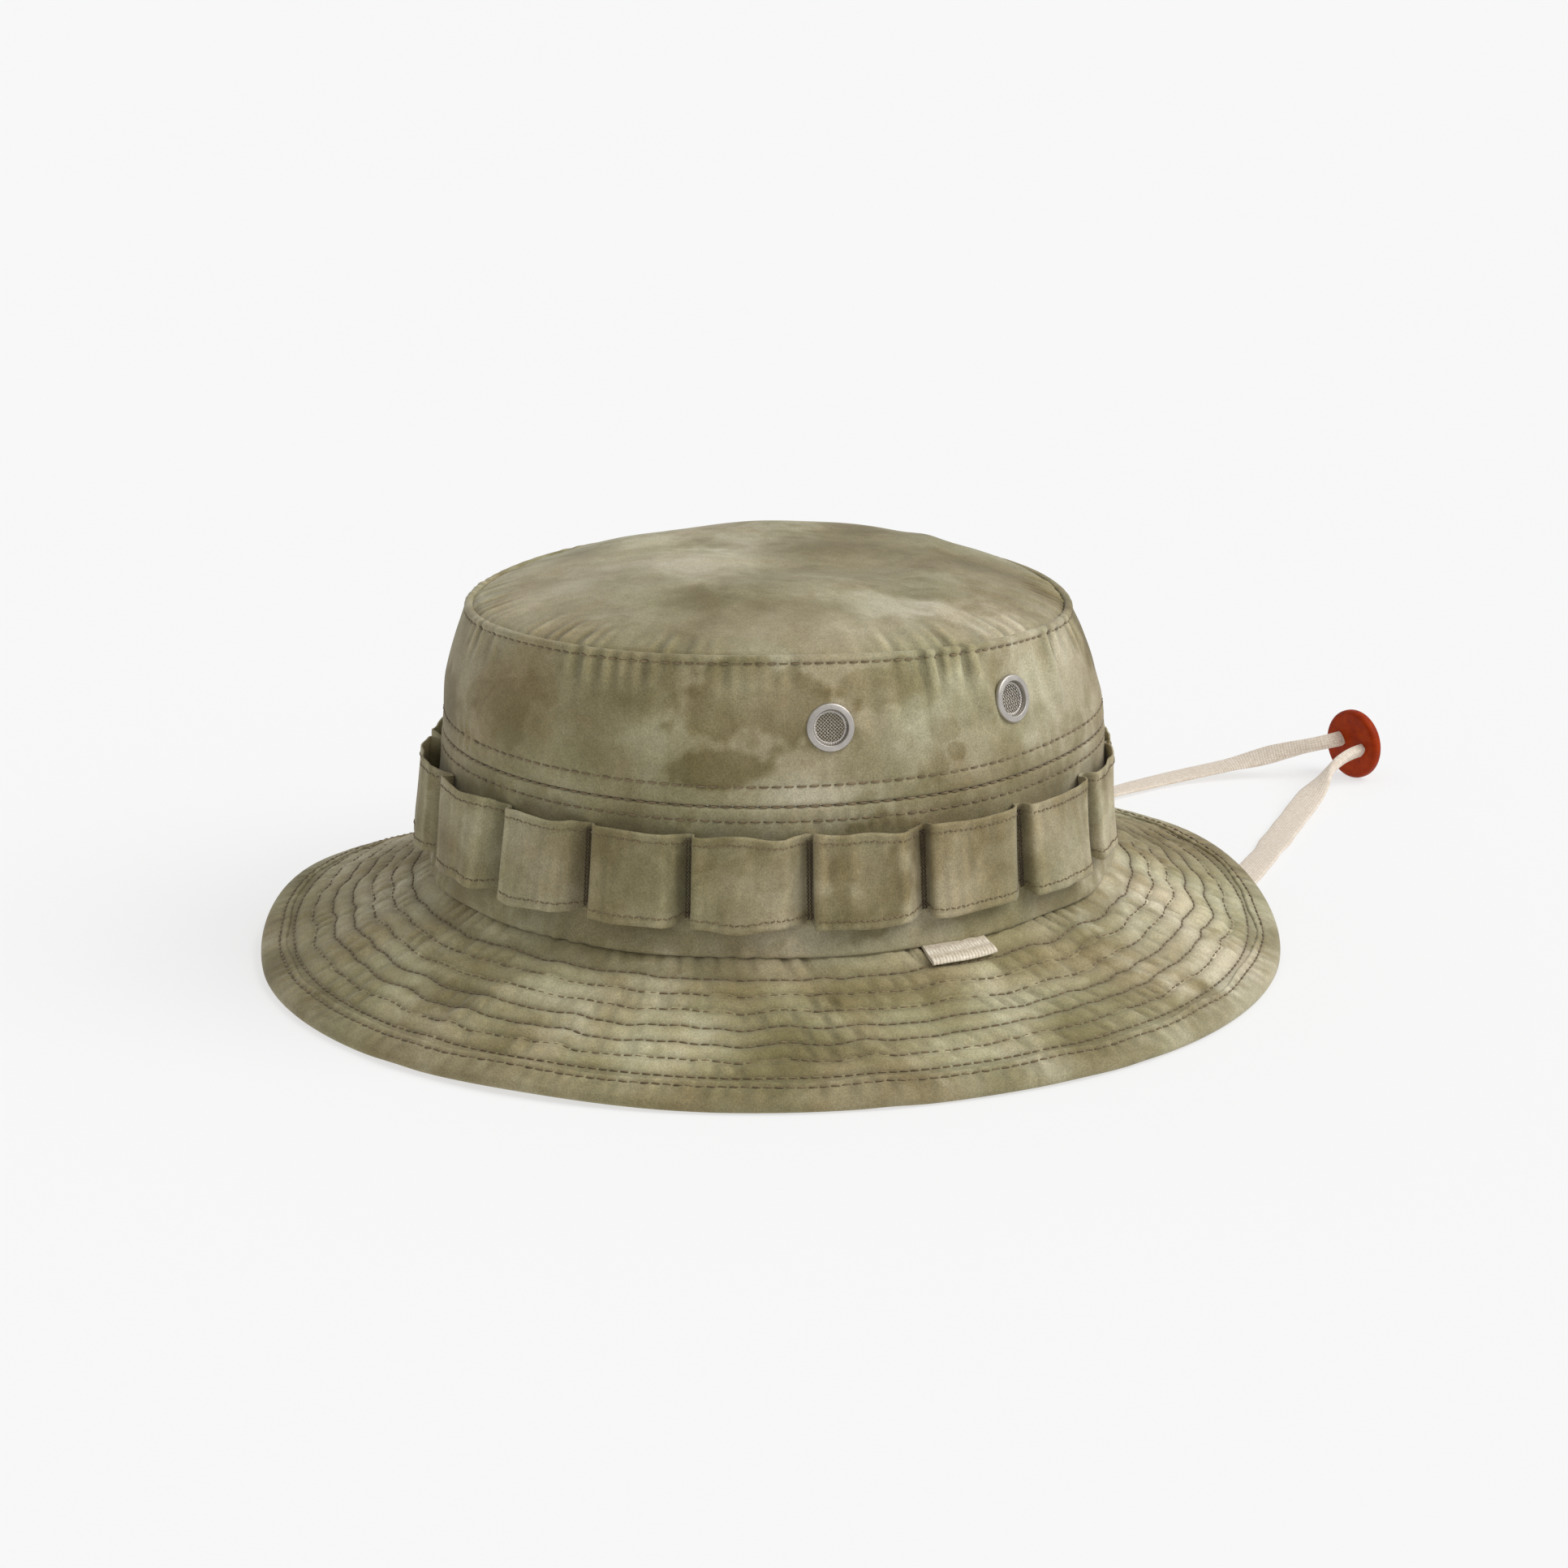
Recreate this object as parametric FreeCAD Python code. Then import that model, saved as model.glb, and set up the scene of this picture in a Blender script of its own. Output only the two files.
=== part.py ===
"""Boonie hat standing on its brim, with its chin cord and leather toggle laid out behind it.

Millimetres.  +Z up, origin on the floor under the middle of the brim.  The wearer's front is -Y,
the wearer's left is +X.  Angles are in plan, from +X towards +Y.
"""
import FreeCAD, Part
import math
import os

os.makedirs("parts", exist_ok=True)
V = FreeCAD.Vector

# ---- Plan shape: radii below are mean radii, stretched to a mild oval -------------------------
OVAL = 1.04                          # length over width of the head opening
WIDE = 1 / math.sqrt(OVAL)           # factor on X
LONG = math.sqrt(OVAL)               # factor on Y
SECTIONS = 36                        # cross-sections in a ring that waves up and down

# ---- Brim -------------------------------------------------------------------------------------
SEAM_R = 95.5                        # brim seam, outside of the crown
BRIM_SLANT = 55.0                    # seam to outer edge, along the slope
BRIM_DROOP = 26.5                    # degrees below level
CLOTH = 0.8                          # one brim layer
BINDING_T = 0.6                      # binding tape
BINDING_W = 9.0                      # how far the binding covers each face
REST_FLAT = 0.5                      # how much of the binding's lowest corner is pressed flat
REAR_LIFT = 8.0                      # the rear edge rides up where the cord runs out
REAR_LIFT_AT, REAR_LIFT_HALF = 97.0, 52.0
SIDE_LIFT = 4.0                      # a smaller wave, front right
SIDE_LIFT_AT, SIDE_LIFT_HALF = -137.0, 34.0

# ---- Crown ------------------------------------------------------------------------------------
WALL = 1.0                           # crown cloth with its turned edges
WALL_FOOT_Z = 24.6                   # lower edge of the side, tucked against the brim
WALL_BEND_Z = 72.0                   # straight below, bowed inwards above
WALL_BEND_R = 91.8
WALL_TOP_Z = 107.6
TIP_R = 84.2                         # tip seam
BOW_POWER = 1.8
LAP_Z0, LAP_Z1 = 66.0, 76.0          # the lower panel runs up inside the upper one
LAP_GAP = 0.5                        # and stands this far clear of it
DOME = 8.0                           # rise of the tip panel
TAPE_T, TAPE_Z0, TAPE_Z1 = 0.6, 97.0, 106.5
SWEAT_T, SWEAT_Z0, SWEAT_Z1 = 0.8, 27.5, 60.0
SEWN = 0.05                          # gap between pieces that are sewn flat together

# ---- Foliage band: one strip, tacked into equal loops -------------------------------------------
LOOPS = 18
LOOP_PITCH = 360.0 / LOOPS
FIRST_TACK = -3.0
BAND_Z0, BAND_Z1 = 36.5, 62.5
BAND_T = 0.8
BAND_STAND_LOW = 8.2                 # how far a loop's middle stands off the side, low edge
BAND_STAND_TOP = 9.6                 # the same at its top edge
LOOP_CROWN = 1.0                     # a loop's corners stand this much less than its middle
FOOT = 1.1                           # degrees of flat foot at each end of a loop
LEG = 0.8                            # degrees that a loop's end wall leans over
TACK_W, TACK_T = 2.4, 0.7
TACK_END = 1.5                       # the tack stops this far inside the band's edges

# ---- Eyelets ----------------------------------------------------------------------------------
EYELET_Z = 90.0
EYELET_ANGLES = {"left_front": -18.5, "left_rear": 18.5, "right_rear": 161.5, "right_front": 198.5}
FLANGE_R, FLANGE_T = 6.6, 0.8
BORE_R, BARREL_R = 4.5, 5.0
BARREL_IN = 2.4                      # barrel's reach inside the cloth's outer face
WASHER_R, WASHER_T = 6.6, 0.6
WASHER_GAP = 0.4                     # a flat washer behind a curved wall touches only in its middle
MESH_T, MESH_SINK = 0.5, 0.2

# ---- Label --------------------------------------------------------------------------------------
LABEL_ANGLE, LABEL_W, LABEL_H, LABEL_T = 3.7, 19.0, 6.6, 0.9
LABEL_CLEAR = 0.1

# ---- Chin cord and toggle -----------------------------------------------------------------------
CORD_R = 2.0                         # round tube of about the section of the flat 9.5 x 1.4 mm cord
TAB_IN, TAB_OUT = 87.3, 91.5         # cord tabs, mean radii of their inner and outer faces
TAB_W, TAB_Z0, TAB_Z1 = 10.0, 36.0, 48.0
TOGGLE_R, TOGGLE_T, TOGGLE_EDGE = 11.0, 3.6, 0.6
TOGGLE_AT = V(-55.4, 246.6, TOGGLE_R)
TOGGLE_YAW = 9.0                     # degrees its face turns from -Y towards +X
HOLE_R, HOLE_OFFSET, HOLE_TILT = 2.7, 4.65, 12.0
HOLE_FRONT, HOLE_BACK = 8.0, 7.0     # the cord runs straight this far each side of mid-thickness

FAR = 400.0                          # size of cutting blocks


def rad(degrees):
    return math.radians(degrees)


def plan(r, angle, z):
    """Point at mean radius r and height z on the oval plan."""
    return V(r * WIDE * math.cos(rad(angle)), r * LONG * math.sin(rad(angle)), z)


def outward(angle):
    """Unit normal of the oval at an angle."""
    return V(math.cos(rad(angle)) / WIDE, math.sin(rad(angle)) / LONG, 0).normalize()


def save(node, shape):
    """Write one node, and say what it is."""
    shape.exportStep("parts/" + node + ".step")
    box = shape.BoundBox
    print("%-28s solids %2d valid %s volume %9.1f  z %6.2f to %6.2f"
          % (node, len(shape.Solids), shape.isValid(), shape.Volume, box.ZMin, box.ZMax))


def polygon(points):
    return Part.makePolygon(points + points[:1])


def smooth_edge(points):
    curve = Part.BSplineCurve()
    curve.interpolate(points)
    return curve.toShape()


def oval(shape):
    """Stretch a round shape to the oval plan."""
    return shape.transformGeometry(FreeCAD.Matrix(WIDE, 0, 0, 0, 0, LONG, 0, 0, 0, 0, 1, 0, 0, 0, 0, 1))


def wall_r(z):
    """Mean outer radius of the crown's side at height z."""
    if z <= WALL_BEND_Z:
        return WALL_BEND_R + (SEAM_R - WALL_BEND_R) * (WALL_BEND_Z - z) / (WALL_BEND_Z - seam_z())
    rise = (z - WALL_BEND_Z) / (WALL_TOP_Z + WALL - WALL_BEND_Z)
    return WALL_BEND_R - (WALL_BEND_R - TIP_R) * rise ** BOW_POWER


def seam_z():
    """Height of the brim's top face at the seam, with the binding's flat on the floor."""
    depth = 3 * CLOTH + BINDING_T
    return BRIM_SLANT * math.sin(rad(BRIM_DROOP)) + depth * math.cos(rad(BRIM_DROOP)) - REST_FLAT


def bump(angle, at, half):
    """Smooth wave, 1 at its middle and 0 from half a width out."""
    away = abs((angle - at + 180) % 360 - 180) / half
    return math.cos(away * math.pi / 2) ** 2 if away < 1 else 0.0


def brim_point(angle, s, t):
    """Point s down the brim's slope and t above its top face."""
    lift = REAR_LIFT * bump(angle, REAR_LIFT_AT, REAR_LIFT_HALF)
    lift += SIDE_LIFT * bump(angle, SIDE_LIFT_AT, SIDE_LIFT_HALF)
    r = SEAM_R + s * math.cos(rad(BRIM_DROOP)) + t * math.sin(rad(BRIM_DROOP))
    z = seam_z() - s * math.sin(rad(BRIM_DROOP)) + t * math.cos(rad(BRIM_DROOP))
    return plan(r, angle, z + lift * (max(s, 0) / BRIM_SLANT) ** 2)


def seam_start(t):
    """Slope distance at which a face t above the brim's top meets the crown's upright side."""
    return (2 * SEWN + WALL / 4 - t * math.sin(rad(BRIM_DROOP))) / math.cos(rad(BRIM_DROOP))


def brim_ring(profile):
    """Closed ring through cross-sections; profile lists (s, t) corners."""
    sections = []
    for i in range(SECTIONS):
        angle = 360.0 * i / SECTIONS
        sections.append(polygon([brim_point(angle, s, t) for s, t in profile]))
    return Part.makeLoft(sections, True, False, True)


def brim_layer(top, bottom, end):
    """One cloth layer of the brim between two depths."""
    middle = BRIM_SLANT / 2
    return brim_ring([(seam_start(top), top), (middle, top), (end, top),
                      (end, bottom), (middle, bottom), (seam_start(bottom), bottom)])


def make_brim():
    end = BRIM_SLANT - BINDING_T
    save("brim_top_layer", brim_layer(0, -CLOTH, end))
    save("brim_interlining", brim_layer(-CLOTH, -2 * CLOTH, end))
    save("brim_bottom_layer", brim_layer(-2 * CLOTH, -3 * CLOTH, end))
    inner = BRIM_SLANT - BINDING_W
    over, under = BINDING_T, -3 * CLOTH - BINDING_T
    tape = brim_ring([(inner, 0), (inner, over), (BRIM_SLANT - BINDING_T, over), (BRIM_SLANT, 0),
                      (BRIM_SLANT, under), (inner, under), (inner, -3 * CLOTH), (end, -3 * CLOTH),
                      (end, 0)])
    floor = Part.makeBox(FAR, FAR, FAR, V(-FAR / 2, -FAR / 2, -FAR))
    save("brim_binding", tape.cut(floor))


def wall_band(z0, z1, outside, thickness, steps=6):
    """Ring that follows the crown's side, its outer face set in by outside."""
    heights = [z0 + (z1 - z0) * i / steps for i in range(steps + 1)]
    outer = [V(wall_r(z) - outside, 0, z) for z in heights]
    inner = [V(wall_r(z) - outside - thickness, 0, z) for z in heights]
    wire = Part.Wire([smooth_edge(outer), Part.makeLine(outer[-1], inner[-1]),
                      smooth_edge(inner[::-1]), Part.makeLine(inner[0], outer[0])])
    return oval(Part.Face(wire).revolve(V(0, 0, 0), V(0, 0, 1), 360))


def eyelet_frame(angle):
    """Centre on the cloth's outer face, and the direction square to it."""
    lean = (wall_r(EYELET_Z - 1) - wall_r(EYELET_Z + 1)) / 2
    axis = outward(angle) + V(0, 0, lean)
    return plan(wall_r(EYELET_Z), angle, EYELET_Z), axis.normalize()


def disc(centre, axis, start, stop, radius):
    """Cylinder along axis between two distances from centre."""
    return Part.makeCylinder(radius, stop - start, centre + axis * start, axis)


def make_crown():
    upper = wall_band(LAP_Z0, WALL_TOP_Z, 0, WALL)
    for angle in EYELET_ANGLES.values():
        centre, axis = eyelet_frame(angle)
        upper = upper.cut(disc(centre, axis, -2 * BARREL_IN, BARREL_IN, BARREL_R + SEWN))
    save("crown_side_upper", upper)

    step = LAP_Z0 - 2 * SEWN
    inset = WALL + LAP_GAP
    outer = [(wall_r(WALL_FOOT_Z), WALL_FOOT_Z), (wall_r(step), step),
             (wall_r(step) - inset, step), (wall_r(LAP_Z1) - inset, LAP_Z1)]
    inner = [(wall_r(LAP_Z1) - inset - WALL, LAP_Z1), (wall_r(step) - inset - WALL, step - WALL),
             (wall_r(step) - WALL, step - 2 * WALL), (wall_r(WALL_FOOT_Z) - WALL, WALL_FOOT_Z)]
    face = Part.Face(polygon([V(r, 0, z) for r, z in outer + inner]))
    save("crown_side_lower", oval(face.revolve(V(0, 0, 0), V(0, 0, 1), 360)))

    rim_z = WALL_TOP_Z + SEWN
    apex = rim_z + WALL + DOME
    sphere = (TIP_R ** 2 + DOME ** 2) / (2 * DOME)
    centre_z = apex - sphere
    half = math.asin(TIP_R / sphere) / 2

    def on_dome(radius, angle):
        return V(radius * math.sin(angle), 0, centre_z + radius * math.cos(angle))

    top = [on_dome(sphere, 0), on_dome(sphere, half), on_dome(sphere, 2 * half)]
    low = [on_dome(sphere - WALL, 0), on_dome(sphere - WALL, half), on_dome(sphere - WALL, 2 * half)]
    wire = Part.Wire([Part.Arc(*top).toShape(), Part.makeLine(top[2], low[2]),
                      Part.Arc(*low[::-1]).toShape(), Part.makeLine(low[0], top[0])])
    save("crown_tip", oval(Part.Face(wire).revolve(V(0, 0, 0), V(0, 0, 1), 360)))

    save("tip_seam_tape", wall_band(TAPE_Z0, TAPE_Z1, WALL + SEWN, TAPE_T))
    save("sweatband", wall_band(SWEAT_Z0, SWEAT_Z1, WALL + SEWN, SWEAT_T))


def make_eyelets():
    for place, angle in EYELET_ANGLES.items():
        centre, axis = eyelet_frame(angle)
        flange = disc(centre, axis, 2 * SEWN, FLANGE_T + 2 * SEWN, FLANGE_R)
        barrel = disc(centre, axis, -BARREL_IN, 2 * SEWN, BARREL_R)
        ring = flange.fuse(barrel).cut(disc(centre, axis, -2 * BARREL_IN, BARREL_IN, BORE_R))
        save("eyelet_ring_" + place, ring.removeSplitter())
        start = -WALL - WASHER_GAP - WASHER_T
        washer = disc(centre, axis, start, start + WASHER_T, WASHER_R)
        washer = washer.cut(disc(centre, axis, start - WASHER_T, BARREL_IN, BARREL_R))
        save("eyelet_washer_" + place, washer)
        save("eyelet_mesh_" + place, disc(centre, axis, -MESH_SINK - MESH_T, -MESH_SINK, BORE_R))


def loop_outline(middle, z, stand):
    """Plan outline of one loop at height z: feet on the cloth, end walls and a crowned face."""
    half = LOOP_PITCH / 2 - 2 * SEWN
    thick = math.degrees(BAND_T / wall_r(z))
    wall = wall_r(z) + 2 * SEWN
    outer = [(half, wall + BAND_T), (half - FOOT, wall + BAND_T),
             (half - FOOT - LEG, wall_r(z) + stand - LOOP_CROWN)]
    inner = [(half, wall), (half - FOOT - thick, wall),
             (half - FOOT - LEG - thick, wall_r(z) + stand - LOOP_CROWN - BAND_T)]
    crown = [plan(wall_r(z) + stand, middle, z)]
    hollow = [plan(wall_r(z) + stand - BAND_T, middle, z)]
    face = [plan(r, middle - a, z) for a, r in outer] + crown
    face += [plan(r, middle + a, z) for a, r in outer[::-1]]
    back = [plan(r, middle + a, z) for a, r in inner] + hollow
    back += [plan(r, middle - a, z) for a, r in inner[::-1]]
    return polygon(face + back)


def make_band():
    for i in range(LOOPS):
        middle = FIRST_TACK + LOOP_PITCH * (i + 0.5)
        low = loop_outline(middle, BAND_Z0, BAND_STAND_LOW)
        top = loop_outline(middle, BAND_Z1, BAND_STAND_TOP)
        save("foliage_loop_%02d" % (i + 1), Part.makeLoft([low, top], True, True))
    tacks = []
    for i in range(LOOPS):
        angle = FIRST_TACK + LOOP_PITCH * i
        side = V(0, 0, 1).cross(outward(angle)) * (TACK_W / 2)
        ends = []
        for z in (BAND_Z0 + TACK_END, BAND_Z1 - TACK_END):
            near = plan(wall_r(z) + BAND_T + 4 * SEWN, angle, z)
            far = near + outward(angle) * TACK_T
            ends.append(polygon([near - side, near + side, far + side, far - side]))
        tacks.append(Part.makeLoft(ends, True, True))
    save("foliage_bar_tacks", Part.makeCompound(tacks))


def make_label():
    across = V(0, 0, 1).cross(outward(LABEL_ANGLE))
    near = brim_point(LABEL_ANGLE, seam_start(0) + SEWN, LABEL_CLEAR)
    down = (brim_point(LABEL_ANGLE, BRIM_SLANT, LABEL_CLEAR) - near).normalize()
    up = down.cross(across).normalize()
    up = up if up.z > 0 else up * -1
    corner = near - across * (LABEL_W / 2)
    foot = polygon([corner, corner + across * LABEL_W, corner + across * LABEL_W + down * LABEL_H,
                    corner + down * LABEL_H])
    save("side_label", Part.Face(foot).extrude(up * LABEL_T))


def cord_tube(route):
    """Round tube along straight runs joined by the largest tangent arcs that they allow."""
    edges = []
    start = route[0]
    for before, corner, after in zip(route, route[1:], route[2:]):
        back, on = before - corner, after - corner
        half_turn = (math.pi - back.getAngle(on)) / 2
        reach = 0.45 * min(back.Length, on.Length)
        radius = reach / math.tan(half_turn)
        print("run %5.1f mm, turn %5.1f degrees, radius %6.1f mm"
              % (back.Length, 2 * math.degrees(half_turn), radius))
        enter = corner + back.normalize() * reach
        leave = corner + on.normalize() * reach
        to_centre = (back + on).normalize() * (radius / math.cos(half_turn))
        crest = corner + to_centre - (to_centre * 1.0).normalize() * radius
        edges.append(Part.makeLine(start, enter))
        edges.append(Part.Arc(enter, crest, leave).toShape())
        start = leave
    edges.append(Part.makeLine(start, route[-1]))
    path = Part.Wire(edges)
    end = Part.Wire(Part.makeCircle(CORD_R, route[0], route[1] - route[0]))
    tube = path.makePipeShell([end], True, False)
    expected = math.pi * CORD_R ** 2 * path.Length
    print("cord: path %.1f mm, volume %.1f, section times length %.1f"
          % (path.Length, tube.Volume, expected))
    return tube


def make_cord():
    face = V(math.sin(rad(TOGGLE_YAW)), -math.cos(rad(TOGGLE_YAW)), 0)
    across = V(math.cos(rad(TOGGLE_YAW)), math.sin(rad(TOGGLE_YAW)), 0)
    to_hole = across * math.cos(rad(HOLE_TILT)) - V(0, 0, 1) * math.sin(rad(HOLE_TILT))
    left_hole = TOGGLE_AT + to_hole * HOLE_OFFSET
    right_hole = TOGGLE_AT - to_hole * HOLE_OFFSET

    body = disc(TOGGLE_AT, face, -TOGGLE_T / 2, TOGGLE_T / 2, TOGGLE_R)
    body = body.makeFillet(TOGGLE_EDGE, body.Edges)
    for hole in (left_hole, right_hole):
        body = body.cut(disc(hole, face, -TOGGLE_T, TOGGLE_T, HOLE_R))
    save("cord_toggle", body)

    cord_x = (TAB_IN + TAB_OUT) / 2 * WIDE
    for side, name in ((1, "left"), (-1, "right")):
        tab_x = sorted((side * TAB_IN * WIDE, side * TAB_OUT * WIDE))
        tab = Part.makeBox(tab_x[1] - tab_x[0], TAB_W, TAB_Z1 - TAB_Z0, V(tab_x[0], -TAB_W / 2, TAB_Z0))
        save("cord_tab_" + name, tab)

    floor = CORD_R + 0.1
    route = [V(cord_x, 0, TAB_Z0), V(cord_x, 0, 18), V(86, 17, 5), V(79, 46, floor),
             V(60, 92, floor), V(32, 136, floor), V(6, 168, floor), V(-15, 191, floor),
             V(-32, 211, 2.8), V(-44, 227, 6.4),
             left_hole + face * HOLE_FRONT, left_hole - face * HOLE_BACK,
             right_hole - face * HOLE_BACK, right_hole + face * HOLE_FRONT,
             V(-66, 229, 9.4), V(-75, 214.5, 4.4), V(-80, 192, floor), V(-75.5, 165, floor),
             V(-68, 134, floor), V(-66, 95, floor), V(-76, 50, floor), V(-86, 17, 5),
             V(-cord_x, 0, 18), V(-cord_x, 0, TAB_Z0)]
    save("chin_cord", cord_tube(route))


make_brim()
make_crown()
make_eyelets()
make_band()
make_label()
make_cord()
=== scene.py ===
"""Boonie hat: cloth, thread, metal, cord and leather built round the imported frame.

Metres, in the frame's own axes: +Z up, the wearer's front towards -Y and left towards +X.
Angles are in plan, from +X towards +Y.
"""
import bmesh
import bpy
import math
import numpy as np
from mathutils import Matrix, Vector


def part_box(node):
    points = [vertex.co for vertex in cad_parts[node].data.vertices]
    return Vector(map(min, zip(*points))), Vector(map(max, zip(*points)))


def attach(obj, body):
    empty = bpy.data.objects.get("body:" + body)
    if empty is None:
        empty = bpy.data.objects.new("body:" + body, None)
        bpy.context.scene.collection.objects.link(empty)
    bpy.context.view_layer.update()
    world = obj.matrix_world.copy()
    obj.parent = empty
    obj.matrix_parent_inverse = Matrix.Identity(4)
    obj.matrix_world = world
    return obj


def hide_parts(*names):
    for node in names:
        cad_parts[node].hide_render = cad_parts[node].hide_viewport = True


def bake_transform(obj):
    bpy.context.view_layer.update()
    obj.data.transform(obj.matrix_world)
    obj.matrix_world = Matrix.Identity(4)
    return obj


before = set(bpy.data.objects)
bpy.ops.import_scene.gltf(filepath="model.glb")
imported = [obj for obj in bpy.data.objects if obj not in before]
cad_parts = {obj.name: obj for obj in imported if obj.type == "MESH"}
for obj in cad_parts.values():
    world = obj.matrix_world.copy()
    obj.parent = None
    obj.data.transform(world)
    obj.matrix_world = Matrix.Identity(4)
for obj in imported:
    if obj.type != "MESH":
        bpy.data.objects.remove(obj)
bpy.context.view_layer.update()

MM = 0.001
TURN = 2 * math.pi


def mean_radius(node):
    """Half the geometric mean of a node's plan sizes."""
    lo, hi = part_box(node)
    return math.sqrt((hi.x - lo.x) * (hi.y - lo.y)) / 2


# ---- Sizes read from the frame ---------------------------------------------------------
edge_lo, edge_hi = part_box("brim_binding")
WIDE = math.sqrt((edge_hi.x - edge_lo.x) / (edge_hi.y - edge_lo.y))
LONG = 1 / WIDE
EDGE_R = mean_radius("brim_binding")
TIP_R = mean_radius("crown_tip")
SEAM_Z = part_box("brim_top_layer")[1].z + 0.2 * MM
RIM_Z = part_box("crown_side_upper")[1].z
FOOT_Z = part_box("crown_side_lower")[0].z
BAND_LO, BAND_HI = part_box("foliage_loop_01")[0].z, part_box("foliage_loop_01")[1].z
SWEAT_LO, SWEAT_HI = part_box("sweatband")[0].z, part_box("sweatband")[1].z
TAPE_LO, TAPE_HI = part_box("tip_seam_tape")[0].z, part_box("tip_seam_tape")[1].z
LOOPS = sum(name.startswith("foliage_loop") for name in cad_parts)

# ---- Shape of the cloth ----------------------------------------------------------------
CAMERA_AZIMUTH, CAMERA_ELEVATION = 60.0, 16.14      # degrees, from the front round to the left, and up
NEAR = math.radians(CAMERA_AZIMUTH - 90)            # plan angle of the side nearest the camera
DROOP = math.radians(26.5)                          # slope of the brim
SLANT = 55.0 * MM                                   # brim, seam to outer edge
SEAM_R = EDGE_R - SLANT * math.cos(DROOP)
BRIM_T = 2.4 * MM                                   # three layers
REAR_LIFT, REAR_AT, REAR_HALF = 8.0 * MM, 97.0, 52.0        # the edge's rise, plan angle, half width
SIDE_LIFT, SIDE_AT, SIDE_HALF = 7.0 * MM, -137.0, 34.0      # the same at the front right
SWELL = 2.2 * MM                                    # the brim spreads a little wider in two places
BINDING_W = 9.0 * MM
BINDING_STITCH = 2.2 * MM                           # its stitch row, from its inner edge
ROWS, FIRST_ROW, ROW_GAP = 7, 7.6 * MM, 6.1 * MM    # quilting rows down the brim
PUFF = 0.85 * MM                                    # how proud a channel stands of its stitches
TOP_SEED, UNDER_SEED = 100, 200                     # of the quilting's creases on each face
BRIM_SKIN, TAPE_SKIN = 0.35 * MM, 0.45 * MM         # thickness of the cloth that is drawn
SIDE_SKIN, BAND_SKIN = 0.6 * MM, 0.5 * MM
BRIM_COLUMNS, SIDE_COLUMNS = 1152, 900              # mesh columns round the hat
WALL = 1.0 * MM
BEND_Z, BEND_R, BOW_POWER = 72 * MM, 91.8 * MM, 1.8     # the side is straight up to here, then bows in
DITCH_Z = 69.0 * MM                                 # seam between the side's two panels
DITCH_ROWS = (5.5 * MM, -4.0 * MM)                  # its topstitching, above and below
RIM_SINK = 3.2 * MM                                 # the tip seam sags below its full height
RIM_TILT, RIM_DIP, RIM_BOW = 2.8 * MM, 0.8 * MM, 1.5 * MM     # high on the near side, dipped, bowed
CROWN_SHIFT = 1.0 * MM                              # the soft crown leans to the wearer's front right
DOME = 9.9 * MM                                     # height of the tip's middle over its seam
WELT_H = 1.6 * MM                                   # topstitching below the tip seam
TACK_FIRST = -3.0                                   # plan angle of the first tack, in degrees
EYELET_Z = 90 * MM                                  # height of the eyelets' middles
EYELET_ANGLES = {"left_front": -18.5, "left_rear": 18.5, "right_rear": 161.5, "right_front": 198.5}
LABEL_ANGLE = 1.2                                   # plan angle of the label's middle, in degrees


def polar(r, angle, z):
    """Points on the oval plan."""
    r, angle, z = np.broadcast_arrays(r, angle, z)
    return np.stack([r * WIDE * np.cos(angle), r * LONG * np.sin(angle), z], axis=-1)


def smoothstep(low, high, x):
    """Eased step, 0 below low and 1 above high."""
    t = np.clip((x - low) / (high - low), 0, 1)
    return t * t * (3 - 2 * t)


def hump(angle, at, half):
    """Smooth wave round the ring: 1 at a plan angle in degrees, 0 from half a width out."""
    away = np.abs((np.degrees(angle) - at + 180) % 360 - 180) / half
    return np.cos(np.minimum(away, 1) * math.pi / 2) ** 2


def bell(x, width):
    """Smooth bump, 1 where x is 0."""
    return np.exp(-(x / width) ** 2)


def unit(vectors):
    """The same directions, one long."""
    return vectors / np.linalg.norm(vectors, axis=-1, keepdims=True)


def ring_noise(seed, angle, across=0.0, waves=8, lean=0.0, rate=0.0, count=16):
    """Random smooth field round a ring: about `waves` crests per turn, which lean by `lean` radians
    of turn per metre across and change at `rate` radians per metre."""
    rng = np.random.default_rng(seed)
    total = 0.0
    for _ in range(count):
        k = max(1, round(waves * (1 + 0.3 * rng.standard_normal())))
        drift = rate * rng.standard_normal()
        total = total + np.cos(k * (angle + lean * across) + drift * across + rng.uniform(0, TURN))
    return total * math.sqrt(2.0 / count)


def space_noise(seed, points, size, count=28):
    """Random smooth field in space with features about `size` across."""
    rng = np.random.default_rng(seed)
    total = 0.0
    for _ in range(count):
        heading = rng.standard_normal(3)
        heading *= math.pi / size * (1 + 0.35 * rng.standard_normal()) / np.linalg.norm(heading)
        total = total + np.cos(points @ heading + rng.uniform(0, TURN))
    return total * math.sqrt(2.0 / count)


def smooth_path(corners, count):
    """Evenly spaced points on a Catmull-Rom curve through corners."""
    p = np.asarray(corners, dtype=float)
    p = np.concatenate([2 * p[:1] - p[1:2], p, 2 * p[-1:] - p[-2:-1]])
    t = np.linspace(0, 1, 24, endpoint=False)[:, None]
    runs = []
    for a, b, c, d in zip(p, p[1:], p[2:], p[3:]):
        runs.append(b + 0.5 * t * (c - a + t * (2 * a - 5 * b + 4 * c - d + t * (3 * (b - c) + d - a))))
    return resample(np.concatenate(runs + [p[-2:-1]]), count)


def run_along(points):
    """Distance along a line of points, at each of them."""
    return np.concatenate([[0], np.cumsum(np.linalg.norm(np.diff(points, axis=0), axis=1))])


def placed(base, pairs):
    """Profile points given in millimetres from a base point."""
    return np.array(pairs) * MM + base


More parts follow.
